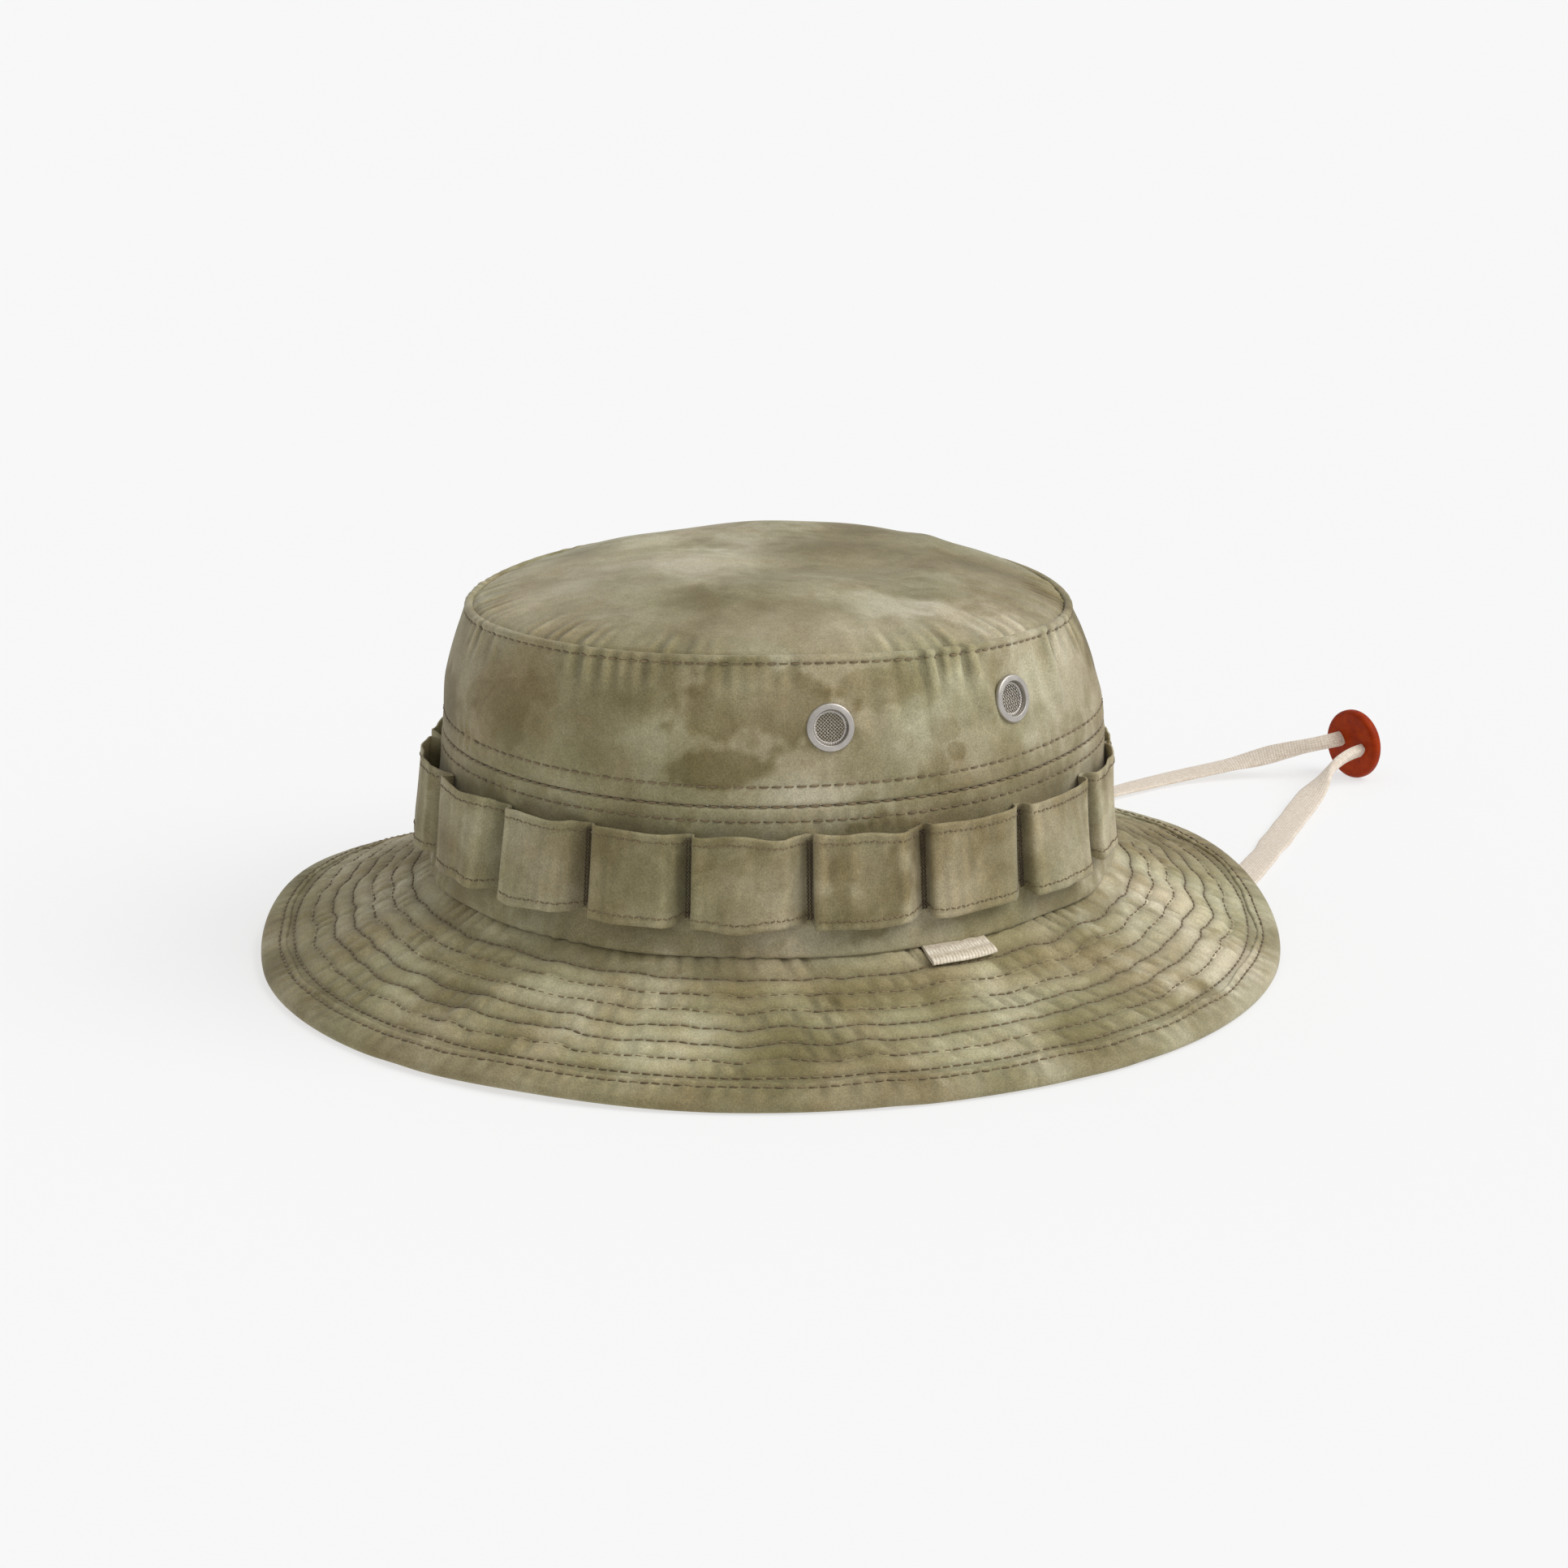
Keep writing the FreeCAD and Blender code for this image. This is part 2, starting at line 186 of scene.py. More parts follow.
def resample(points, count):
    """Points evenly spaced along a line of points."""
    run = run_along(points)
    at = np.linspace(0, run[-1], count)
    return np.stack([np.interp(at, run, column) for column in points.T], axis=1)


def read_profile(profile, share):
    """Both columns of a profile at a share of the way along it."""
    at = np.clip(share, 0, 1) * (len(profile) - 1)
    return [np.interp(at, np.arange(len(profile)), column) for column in profile.T]


# ---- Mesh helpers ----------------------------------------------------------------------
def add_object(name, data):
    """Object in the scene that shows some data."""
    piece = bpy.data.objects.new(name, data)
    bpy.context.scene.collection.objects.link(piece)
    return piece


def add_mesh(name, verts, faces, attributes=None):
    """Smooth-shaded mesh object from arrays, with float or vector point attributes."""
    mesh = bpy.data.meshes.new(name)
    mesh.from_pydata(np.asarray(verts).reshape(-1, 3).tolist(), [], faces)
    mesh.update()
    mesh.polygons.foreach_set("use_smooth", [True] * len(mesh.polygons))
    for key, values in (attributes or {}).items():
        values = np.asarray(values, dtype=np.float32)
        vector = values.shape[-1] == 3
        layer = mesh.attributes.new(key, "FLOAT_VECTOR" if vector else "FLOAT", "POINT")
        layer.data.foreach_set("vector" if vector else "value", values.ravel())
    return add_object(name, mesh)


def grid_faces(rows, columns, wrap_rows, wrap_columns, start=0):
    """Quads of a grid of vertices that run column by column within each row."""
    i = np.arange(rows if wrap_rows else rows - 1)[:, None]
    j = np.arange(columns if wrap_columns else columns - 1)[None, :]
    i2, j2 = (i + 1) % rows, (j + 1) % columns
    corners = (i * columns + j, i * columns + j2, i2 * columns + j2, i2 * columns + j)
    return (np.stack(np.broadcast_arrays(*corners), axis=-1).reshape(-1, 4) + start).tolist()


def ring_normals(points):
    """Unit normals of a grid of points whose columns go right round a ring."""
    along = np.roll(points, -1, 1) - np.roll(points, 1, 1)
    normal = np.cross(along, np.gradient(points, axis=0))
    return normal / np.maximum(np.linalg.norm(normal, axis=-1, keepdims=True), 1e-12)


def cloth_skin(name, outer, thickness, facts, inner_step, flip=False):
    """Closed skin of a cloth: the outer face in full, and a coarser inner face behind it.

    outer is (rows, columns, 3) with columns round the ring, and rows running so that the
    normals point out of the cloth unless flip is set. The inner face keeps every inner_step-th row.
    """
    normal = ring_normals(outer) * (-1 if flip else 1)
    keep = np.unique(np.append(np.arange(0, outer.shape[0], inner_step), outer.shape[0] - 1))[::-1]
    skin = np.concatenate([outer, outer[keep] - normal[keep] * thickness])
    faces = grid_faces(skin.shape[0], skin.shape[1], True, True)
    if flip:
        faces = [face[::-1] for face in faces]
    attributes = {key: np.concatenate([value, value[keep]]) for key, value in facts.items()}
    return add_mesh(name, skin, faces, attributes)


def ring_angles(columns):
    """Plan angles of a ring's columns."""
    return np.arange(columns) * TURN / columns


# ---- Stitches --------------------------------------------------------------------------
THREAD_R, FINE_THREAD_R = 0.27 * MM, 0.2 * MM
SIDES = 6                            # of a thread's section
STITCH, SIDE_STITCH, RIM_STITCH, HEM_STITCH = 3.0 * MM, 3.4 * MM, 3.2 * MM, 1.6 * MM


def stitch_line(surface, level, length, columns=1440):
    """Points and normals of a row of stitches round surface(level, angle), a stitch apart."""
    at = np.linspace(0, TURN, columns + 1)
    run = run_along(surface(np.full(at.shape, level), at))
    count = max(2, int(run[-1] / length) + 1)
    at = np.interp(np.linspace(0, run[-1], count), run, at)
    step, turn = 0.3 * MM, 0.002
    flat = np.full(at.shape, level)
    along = surface(flat, at + turn) - surface(flat, at - turn)
    across = surface(flat + step, at) - surface(flat - step, at)
    return surface(flat, at), unit(np.cross(along, across))


def add_stitches(name, rows, thread_r=THREAD_R, gap=0.1, zigzag=0.0, outward=1):
    """One short thread per stitch, arched out of the cloth and diving in at both ends.

    The attribute "hole" is 1 where the thread goes in; the thread's material paints shade there, for the
    needle hole.
    """
    share = np.array([0.0, 0.14, 0.5, 0.86, 1.0])
    rise = np.array([-1.3, 0.4, 1.0, 0.4, -1.3]) * thread_r
    fat = np.array([0.7, 0.95, 1.0, 0.95, 0.7]) * thread_r
    turn = np.arange(SIDES) * TURN / SIDES
    block = len(share) * SIDES
    verts, count = [], 0
    for points, normals in rows:
        a, b = points[:-1], points[1:]
        n = (normals[:-1] + normals[1:]) / 2 * outward
        along = b - a
        a, b = a + along * gap / 2, b - along * gap / 2
        across = unit(np.cross(n, along))
        if zigzag:
            side = np.where(np.arange(len(a)) % 2, 1, -1)[:, None]
            a, b = a - across * zigzag * side, b + across * zigzag * side
        centre = a[:, None] + (b - a)[:, None] * share[None, :, None] + n[:, None] * rise[None, :, None]
        ring = across[:, None] * np.cos(turn)[None, :, None] + n[:, None] * np.sin(turn)[None, :, None]
        tube = centre[:, :, None] + ring[:, None] * fat[None, :, None, None]
        verts.append(tube.reshape(-1, 3))
        count += len(a)
    one = np.array(grid_faces(len(share), SIDES, False, True))
    faces = (one[None] + (np.arange(count) * block)[:, None, None]).reshape(-1, 4).tolist()
    cap = np.arange(SIDES)
    for first in range(0, count * block, block):
        faces.append((first + cap[::-1]).tolist())
        faces.append((first + block - SIDES + cap).tolist())
    hole = np.tile(np.repeat([1.0, 0.35, 0.0, 0.35, 1.0], SIDES), count)
    return add_mesh(name, np.concatenate(verts), faces, {"hole": hole})


# ---- Camera ----------------------------------------------------------------------------
LENS, SENSOR = 120.5, 36             # millimetres of the camera, not of the hat
DISTANCE, MIDDLE_Z = 1.5, 60 * MM
AIM_RIGHT, AIM_DOWN = 3.22 * MM, 10.97 * MM


def make_camera():
    """At the reference view: from the wearer's left front, a little above."""
    azimuth, elevation = math.radians(CAMERA_AZIMUTH), math.radians(CAMERA_ELEVATION)
    away = Vector((math.sin(azimuth) * math.cos(elevation),
                   -math.cos(azimuth) * math.cos(elevation), math.sin(elevation)))
    middle = Vector((0, 0, MIDDLE_Z))
    data = bpy.data.cameras.new("camera")
    data.lens, data.sensor_width = LENS, SENSOR
    camera = add_object("camera", data)
    camera.location = middle + away * DISTANCE
    right = Vector((math.cos(azimuth), math.sin(azimuth), 0))
    up = right.cross(-away)
    target = middle + right * AIM_RIGHT - up * AIM_DOWN
    camera.rotation_euler = (target - camera.location).to_track_quat("-Z", "Y").to_euler()
    bpy.context.scene.camera = camera


# ---- Chin cord and toggle --------------------------------------------------------------
TAPE_W, TAPE_T = 9.5 * MM, 1.4 * MM
TOGGLE_YAW = math.radians(9.0)
SLIDE = Vector((math.sin(TOGGLE_YAW), -math.cos(TOGGLE_YAW), 0))
TAB_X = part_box("cord_tab_left")[0].x / 2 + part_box("cord_tab_left")[1].x / 2
TAB_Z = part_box("cord_tab_left")[0].z
LAID_Z = 0.0013                      # middle of the tape where it lies on the floor
ROUTE = [(TAB_X, 0, TAB_Z), (TAB_X, 0, 0.018), (0.086, 0.017, 0.005), (0.079, 0.046, LAID_Z),
         (0.060, 0.092, LAID_Z), (0.032, 0.136, LAID_Z), (0.006, 0.168, LAID_Z),
         (-0.015, 0.191, LAID_Z), (-0.032, 0.211, 0.0024), (-0.044, 0.227, 0.0062),
         (-0.04966, 0.23941, 0.01003), (-0.05200, 0.25423, 0.01003),
         (-0.06099, 0.25280, 0.01197), (-0.05864, 0.23799, 0.01197),
         (-0.066, 0.229, 0.0090), (-0.075, 0.2145, 0.0040), (-0.080, 0.192, LAID_Z),
         (-0.0755, 0.165, LAID_Z), (-0.068, 0.134, LAID_Z), (-0.066, 0.095, LAID_Z),
         (-0.076, 0.050, LAID_Z), (-0.086, 0.017, 0.005), (-TAB_X, 0, 0.018), (-TAB_X, 0, TAB_Z)]


def spline_points(route):
    """Points along a smooth spline that has the route's points as its control points."""
    curve = bpy.data.curves.new("cord_route", "CURVE")
    curve.dimensions = "3D"
    spline = curve.splines.new("NURBS")
    spline.points.add(len(route) - 1)
    for point, place in zip(spline.points, route):
        point.co = (*place, 1)
    spline.order_u = 3
    spline.use_endpoint_u = True
    spline.resolution_u = 24
    holder = add_object("cord_route", curve)
    bpy.context.view_layer.update()
    line = bpy.data.meshes.new_from_object(holder)
    points = np.array([v.co for v in line.vertices])
    bpy.data.objects.remove(holder)
    return points


def cord_side(centre, along, near):
    """Direction across the tape: level on the ground, and along the sweatband where it hangs."""
    hanging = smoothstep(10 * MM, 20 * MM, centre[:, 2]) * (near > 60 * MM)
    side = np.cross(along, [0.0, 0.0, 1.0])
    flat = np.linalg.norm(side, axis=1, keepdims=True)
    across_tab = np.cross(along, unit(centre * [1, 1, 0]))
    side = side / np.maximum(flat, 1e-6) * (1 - hanging[:, None]) + across_tab * hanging[:, None]
    side -= along * np.sum(side * along, axis=1, keepdims=True)
    return unit(side)


def make_cord():
    """Flat cotton tape that narrows into a bunch where it threads the toggle."""
    path = spline_points(ROUTE)
    length = float(run_along(path)[-1])
    count = 700
    at = np.linspace(0, length, count)
    centre = resample(path, count)
    along = unit(np.gradient(centre, axis=0))
    toggle = np.array(sum(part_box("cord_toggle"), Vector()) / 2)
    near = np.linalg.norm(centre - toggle, axis=1)
    bunch = 1 - smoothstep(13 * MM, 42 * MM, near)
    twist = ring_noise(31, at / length * TURN, waves=7, count=8)
    side = cord_side(centre, along, near)
    face = np.cross(side, along)
    lean = bunch * 0.9 + (1 - bunch) * 0.08 * twist * (near > 25 * MM)
    across = side * np.cos(lean)[:, None] + face * np.sin(lean)[:, None]
    thick = np.cross(across, along)
    width = TAPE_W * (1 - 0.53 * bunch) * (1 + 0.03 * ring_noise(32, at / length * TURN, waves=20))
    depth = TAPE_T * (1 + 1.3 * bunch)
    turn = np.arange(20) * TURN / 20
    shape_x = np.sign(np.cos(turn)) * np.abs(np.cos(turn)) ** 0.75
    shape_y = np.sign(np.sin(turn)) * np.abs(np.sin(turn)) ** 0.55
    skin = (centre[:, None] + across[:, None] * (width[:, None] / 2 * shape_x)[..., None]
            + thick[:, None] * (depth[:, None] / 2 * shape_y)[..., None])
    skin[..., 2] = np.maximum(skin[..., 2], 0.2 * MM)
    faces = grid_faces(count, len(turn), False, True)
    faces.append(list(range(len(turn)))[::-1])
    faces.append(list(range((count - 1) * len(turn), count * len(turn))))
    braid = np.stack(np.broadcast_arrays(at[:, None], width[:, None] / 2 * shape_x[None], 0.0), axis=-1)
    cord = add_mesh("chin_cord_tape", skin, faces, {"weave": braid})
    return cord, path, length


# ---- Printed pattern -------------------------------------------------------------------
DARK, LIGHT = -0.30, 0.26
BLOTCHES = [    # where, two places on it, half width and half height in mm, how dark or light
    ("tip", 27, -41, 8, 9, -0.14), ("tip", 33, -22, 6, 9, -0.16), ("tip", 10, 22, 20, 24, -0.16),
    ("tip", -12, -56, 20, 24, -0.04), ("tip", 54, 6, 16, 9, LIGHT), ("tip", 66, 26, 14, 12, LIGHT),
    ("tip", -6, -20, 22, 16, 0.16), ("tip", 20, 58, 16, 18, -0.14), ("tip", -50, 10, 28, 24, 0.34),
    ("side", -39, 80, 12, 6, DARK), ("side", -30, 96, 24, 11, -0.30), ("side", -60, 98, 20, 7, -0.12),
    ("side", -11, 100, 14, 6, -0.20), ("side", 4, 80, 3, 3, -0.22), ("side", -20, 72, 16, 3, 0.20),
    ("side", 5, 88, 16, 12, 0.16), ("side", 34, 95, 22, 18, LIGHT), ("side", -46, 88, 9, 7, 0.14),
    ("side", -84, 86, 26, 16, 0.07), ("side", -75, 60, 30, 9, -0.06), ("side", 20, 62, 20, 8, -0.12),
    ("side", 60, 90, 16, 12, -0.24), ("side", 100, 84, 26, 10, 0.18), ("side", 140, 95, 20, 9, -0.26),
    ("side", -14, 50, 15, 14, -0.26), ("side", 42, 50, 16, 16, 0.26), ("side", -30, 31, 90, 5, 0.14),
    ("side", 190, 82, 24, 10, -0.24), ("side", 225, 96, 20, 12, 0.20), ("side", 250, 80, 22, 8, -0.2),
    ("brim", -75, 29, 12, 8, -0.20), ("brim", -68, 12, 12, 6, -0.10), ("brim", -60, 22, 14, 9, 0.16),
    ("brim", -124, 38, 16, 12, -0.06), ("brim", -116, 14, 18, 9, 0.24), ("brim", -44, 30, 20, 9, 0.10),
    ("brim", -34, 12, 16, 8, -0.08), ("brim", -12, 14, 20, 8, -0.14), ("brim", -24, 36, 14, 8, -0.07),
    ("brim", -7, 40, 12, 6, 0.14), ("brim", 10, 38, 18, 10, -0.15), ("brim", 40, 44, 18, 10, 0.16),
    ("brim", -30, 24, 24, 9, 0.10), ("brim", 38, 26, 26, 18, 0.34), ("brim", 5, 22, 16, 9, 0.14),
    ("brim", 56, 18, 22, 12, LIGHT), ("brim", 20, 8, 14, 6, 0.12), ("brim", 90, 30, 26, 14, -0.2),
    ("brim", 130, 22, 24, 12, 0.2), ("brim", 165, 38, 24, 12, -0.26), ("brim", 205, 24, 24, 14, 0.18),
]


def blotch_frame(where, a, b):
    """Centre of a blotch and the level direction along it.

    On the tip, a and b are x and y in millimetres. Elsewhere a is a plan angle in degrees, and b
    is a height on the side or a distance down the brim, in millimetres.
    """
    if where == "tip":
        centre = np.array([a * MM, b * MM, RIM_Z + 4 * MM])
        return centre, np.array([-math.sin(NEAR), math.cos(NEAR), 0.0])
    angle = math.radians(a)
    level = np.array([-math.sin(angle), math.cos(angle), 0.0])
    if where == "side":
        return polar(wall_r(b * MM), angle, b * MM), level
    return brim_base(b * MM, np.array(angle), 0.0), level


def camo_tone(points):
    """Lightness of the print, about 0 to 1: soft washes with ragged, water-stained blotches on them."""
    flat = points.reshape(-1, 3)
    tone = 0.5 + 0.055 * space_noise(61, flat, 34 * MM) + 0.045 * space_noise(62, flat, 15 * MM)
    ragged = 0.17 * space_noise(63, flat, 9 * MM) + 0.10 * space_noise(64, flat, 4 * MM)
    ragged = ragged + 0.05 * space_noise(67, flat, 1.8 * MM)
    for where, a, b, half_width, half_height, strength in BLOTCHES:
        centre, level = blotch_frame(where, a, b)
        away = flat - centre
        along = away @ level
        rest = np.sqrt(np.maximum((away ** 2).sum(axis=1) - along ** 2, 0))
        reach = np.hypot(along / (half_width * MM), rest / (half_height * MM)) + ragged
        soft = 0.22 if strength < -0.19 else 0.6
        inside = 1 - smoothstep(1 - soft, 1 + soft, reach)
        tone = tone + 0.75 * strength * inside
    scattered = space_noise(65, flat, 19 * MM) + 0.35 * space_noise(66, flat, 5 * MM)
    tone = tone - 0.08 * smoothstep(1.15, 1.5, scattered)
    return tone.reshape(points.shape[:-1])


# ---- Brim ------------------------------------------------------------------------------
def brim_base(s, angle, t):
    """Point s down the brim's slope and t above its top face, before any quilting."""
    lift = REAR_LIFT * hump(angle, REAR_AT, REAR_HALF) + SIDE_LIFT * hump(angle, SIDE_AT, SIDE_HALF)
    share = np.maximum(s, 0) / SLANT
    drop = brim_waves(angle) * share ** 2
    swell = (SWELL * hump(angle, 25, 50) + 0.5 * SWELL * hump(angle, -125, 50)) * share
    r = SEAM_R + s * math.cos(DROOP) + t * math.sin(DROOP) + swell
    z = SEAM_Z - s * math.sin(DROOP) + t * math.cos(DROOP) + lift * share ** 2 + drop
    return polar(r, angle, z)


def brim_waves(angle):
    """Soft waves of the brim's edge, only upwards so that it stays on the floor."""
    wave = 0.8 * MM * ring_noise(11, angle, waves=6, count=10)
    return np.maximum(wave, 0) * (1 - hump(angle, np.degrees(NEAR), 30) * 0.7) * (1 - hump(angle, 55, 50))


RIDGES = [(-62, -0.22, 3.2, 1.5), (-22, 0.10, 2.6, 0.8), (-3, 0.16, 3.4, 0.9), (9, 0.10, 2.4, 0.6),
          (-98, -0.15, 4.0, 0.8), (38, 0.15, 4.0, 0.8), (140, 0.1, 4.0, 1.2), (200, -0.1, 5.0, 1.0)]
# each: plan angle in degrees, degrees of lean to a millimetre, half width in degrees, height in mm


def brim_ridge(s, angle):
    """Soft creases that run out across the brim, and a hollow in front of the label."""
    ridge = 0.0
    for at, lean, width, height in RIDGES:
        away = (np.degrees(angle) - at - lean * s / MM + 180) % 360 - 180
        ridge = ridge + height * MM * bell(away, width)
    ridge = ridge - 1.9 * MM * hump(angle, 8, 34) * bell(s - 20 * MM, 12 * MM)
    return ridge * smoothstep(2 * MM, 16 * MM, s) * (1 - 0.6 * smoothstep(36 * MM, 50 * MM, s))


def quilt(s, angle, seed):
    """Height of the padded channels between the rows, and the same as a share for the colour's painted
    shade: lighter on the pillows, darker at the stitch rows and in the creases.

    Each channel is a row of small pillows, parted by creases that slant on the wearer's left.
    """
    place = (s - FIRST_ROW) / ROW_GAP
    channel = np.clip(np.floor(place), -1, ROWS - 1)
    share = np.clip(place - channel, 0, 1)
    arch = np.where(channel < 0, np.cos(share * math.pi / 2), np.abs(np.sin(math.pi * share))) ** 0.95
    arch = arch * np.where(channel == ROWS - 1, 0.55, 1.0)
    lean = -4.5 * hump(angle, 5, 75)
    strength = 0.5 + 0.5 * hump(angle, 8, 75) + 0.2 * hump(angle, -110, 50)
    crease = 0.0
    for k in range(-1, ROWS):
        waves = int(TURN * (SEAM_R + (FIRST_ROW + k * ROW_GAP) * math.cos(DROOP)) / (6.2 * MM))
        field = ring_noise(seed + k, angle, across=s, waves=waves, lean=lean, rate=45)
        patchy = 0.75 + 0.45 * ring_noise(seed + 40 + k, angle, waves=13, count=8)
        part = smoothstep(-0.5, 1.4, field) * np.clip(patchy, 0.2, 1.3)
        crease = crease + np.where(channel == k, part, 0.0)
    crease = crease * strength * np.sin(math.pi * np.where(channel < 0, 0.5 + share / 2, share)) ** 0.6
    swell = 0.16 * ring_noise(seed + 90, angle, across=s, waves=46, lean=lean * 0.7, rate=90)
    # The second value paints shade: light on the pillows, dark at the rows and in the creases.
    return PUFF * arch * (1 + swell - 0.95 * crease), arch * (1.48 - 1.2 * crease)


def row_wander(s, angle):
    """Sideways wander of the quilting rows."""
    slow = ring_noise(21, angle, across=s, waves=22, rate=70)
    quick = ring_noise(22, angle, across=s, waves=48, rate=70)
    inner, outer = smoothstep(1 * MM, 8 * MM, s), 1 - smoothstep(40 * MM, 45 * MM, s)
    return 0.34 * MM * (slow + 0.6 * quick) * inner * outer


def brim_levels(stop):
    """Slope distances of the mesh rows, denser beside each stitch row."""
    shares = np.array([0, 0.05, 0.11, 0.2, 0.34, 0.5, 0.66, 0.8, 0.89, 0.95])
    first = np.array([-0.21, 0, 0.15, 0.32, 0.49, 0.65, 0.78, 0.88, 0.95])
    rows = [FIRST_ROW * first] + [FIRST_ROW + ROW_GAP * (k + shares) for k in range(ROWS)]
    levels = np.concatenate(rows)
    return levels[levels < stop]


def brim_top_surface(s, angle):
    """Top face of the brim, with its quilting."""
    lift, _ = quilt(s, angle, TOP_SEED)
    return brim_base(s + row_wander(s, angle), angle, lift + brim_ridge(s, angle))


def brim_under_surface(s, angle):
    """Lower face of the brim, with shallower quilting."""
    lift, _ = quilt(s, angle, UNDER_SEED)
    return brim_base(s + row_wander(s, angle), angle, -BRIM_T - 0.6 * lift + brim_ridge(s, angle))


def cloth_facts(points, relief_shade, weave=None):
    """Per-point facts that the cloth's material reads: the relief that sets its painted shade and light,
    print and place in the weave.
    """
    if weave is None:
        angle = np.unwrap(np.arctan2(points[..., 1], points[..., 0]), axis=1)
        step = np.linalg.norm(np.diff(points, axis=0, prepend=points[:1]), axis=-1)
        weave = np.stack([angle * BEND_R, np.cumsum(step, axis=0), 0 * angle], axis=-1)
    return {"relief_shade": np.broadcast_to(relief_shade, points.shape[:-1]), "tone": camo_tone(points), "weave": weave}


def cloth_piece(name, nodes, outer, thickness, relief_shade, inner_step, flip=False):
    """Printed cloth that stands in for some CAD nodes."""
    piece = cloth_skin(name, outer, thickness, cloth_facts(outer, relief_shade), inner_step, flip)
    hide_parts(*nodes)
    return piece


def brim_face(name, node, surface, seed, columns, flip):
    """One quilted face of the brim."""
    levels = brim_levels(SLANT - BINDING_W + 2 * MM)[:, None]
    angle = ring_angles(columns)[None]
    _, relief_shade = quilt(levels, angle, seed)
    return cloth_piece(name, [node], surface(levels, angle), BRIM_SKIN, relief_shade, 8, flip)


def quilting_thread(name, surface, outward):
    """The stitch rows of one face of the brim."""
    rows = [stitch_line(surface, FIRST_ROW + ROW_GAP * k, STITCH) for k in range(ROWS)]
    return add_stitches(name, rows, outward=outward)


def make_brim():
    """Cloths and threads of the brim."""
    top = brim_face("brim_top_cloth", "brim_top_layer", brim_top_surface, TOP_SEED, BRIM_COLUMNS, True)
    under = brim_face("brim_under_cloth", "brim_bottom_layer", brim_under_surface, UNDER_SEED, 960, False)
    threads = [quilting_thread("brim_quilting_thread", brim_top_surface, -1),
               quilting_thread("brim_quilting_thread_under", brim_under_surface, 1)]
    return [top, under, make_binding()], threads + make_binding_threads()


def make_interlining():
    """Stiff cloth between the brim's two faces, bent the way they are."""
    s = np.linspace(1 * MM, SLANT - 2 * MM, 36)[:, None]
    angle = ring_angles(480)[None]
    face = brim_base(s, angle, brim_ridge(s, angle) - BRIM_T / 3)
    piece = cloth_skin("brim_interlining_cloth", face, BRIM_T / 3, {}, 1, flip=True)
    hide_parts("brim_interlining")
    return piece


def binding_profile():
    """(s, t) round the binding's outside, from its inner edge on top to the one underneath."""
    inner = SLANT - BINDING_W
    corners = [placed((inner, 0), [(0.1, -0.2), (0, 0.55), (0.5, 1.0), (1.4, 1.0)]),
               placed((SLANT, 0), [(-4, 1.0), (-1.3, 0.6), (-0.05, -0.9), (-0.4, -2.2)]),
               placed((SLANT, -BRIM_T), [(-2, -0.6)]),
               placed((inner, -BRIM_T), [(1.2, -0.55), (0.15, -0.4), (0, 0.1)])]
    return smooth_path(np.concatenate(corners), 56)


def binding_surface(k, angle):
    """Point at share k of the way round the binding's outside."""
    s, t = read_profile(binding_profile(), k)
    inner = SLANT - BINDING_W
    wander = 0.35 * MM * ring_noise(51, angle, waves=22, count=10) * bell(s - inner, 3 * MM)
    pucker = 0.09 * MM * ring_noise(52, angle, across=s, waves=170, lean=2.0, rate=40)
    pucker = pucker * bell(s - inner - 2 * MM, 3.5 * MM)
    groove = -0.25 * MM * bell(s - inner - BINDING_STITCH, 0.6 * MM)
    over = np.where(t > -BRIM_T / 2, 1.0, -1.0)
    point = brim_base(s + wander, angle, t + over * (pucker + groove) + brim_ridge(s, angle))
    point[..., 2] = np.maximum(point[..., 2], 0.05 * MM)
    return point


def make_binding():
    """Tape folded over the brim's edge."""
    k = np.linspace(0, 1, 56)[:, None]
    angle = ring_angles(BRIM_COLUMNS)[None]
    outer = binding_surface(k, angle)
    # Painted shade and light: puckers near the inner edge, a dark line at that edge where the binding's
    # step shades the brim, and a thin painted highlight on the step.
    relief_shade = 0.6 + 0.25 * ring_noise(53, angle, across=k, waves=150, rate=4) * bell(k - 0.2, 0.2)
    relief_shade = relief_shade - 0.8 * bell(k - 0.02, 0.025) + 0.35 * bell(k - 0.075, 0.02)
    return cloth_piece("brim_binding_tape", ["brim_binding"], outer, TAPE_SKIN, relief_shade, 5, flip=True)


def make_binding_threads():
    """The binding's stitch row, on top and where it comes out underneath."""
    profile = binding_profile()
    place = SLANT - BINDING_W + BINDING_STITCH
    last, half = len(profile) - 1, len(profile) // 2
    top_k = np.interp(place, profile[2:half, 0], np.arange(2, half)) / last
    low = profile[half:][::-1]
    low_k = 1 - np.interp(place, low[2:, 0], np.arange(2, len(low))) / last
    threads = []
    for name, k in (("binding_thread", top_k), ("binding_thread_under", low_k)):
        def level_surface(level, angle, k=k):
            return binding_surface(k + level, angle)
        threads.append(add_stitches(name, [stitch_line(level_surface, 0.0, STITCH)], outward=-1))
    return threads


# ---- Crown -----------------------------------------------------------------------------
def wall_r(z):
    """Mean outer radius of the crown's side at height z: straight below, bowed in above."""
    z = np.asarray(z, dtype=float)
    low = BEND_R + (SEAM_R - BEND_R) * (BEND_Z - z) / (BEND_Z - SEAM_Z)
    rise = np.maximum(z - BEND_Z, 0) / (RIM_Z + WALL - BEND_Z)
    return np.where(z <= BEND_Z, low, BEND_R - (BEND_R - TIP_R) * rise ** BOW_POWER)


def rim_shift(angle):
    """How far the tip seam stands above or below its level height."""
    turn = angle - NEAR
    wander = 0.2 * MM * ring_noise(71, angle, waves=5, count=8)
    return RIM_TILT * np.cos(turn) - RIM_DIP * np.sin(turn) + RIM_BOW * np.cos(2 * turn) - RIM_SINK + wander


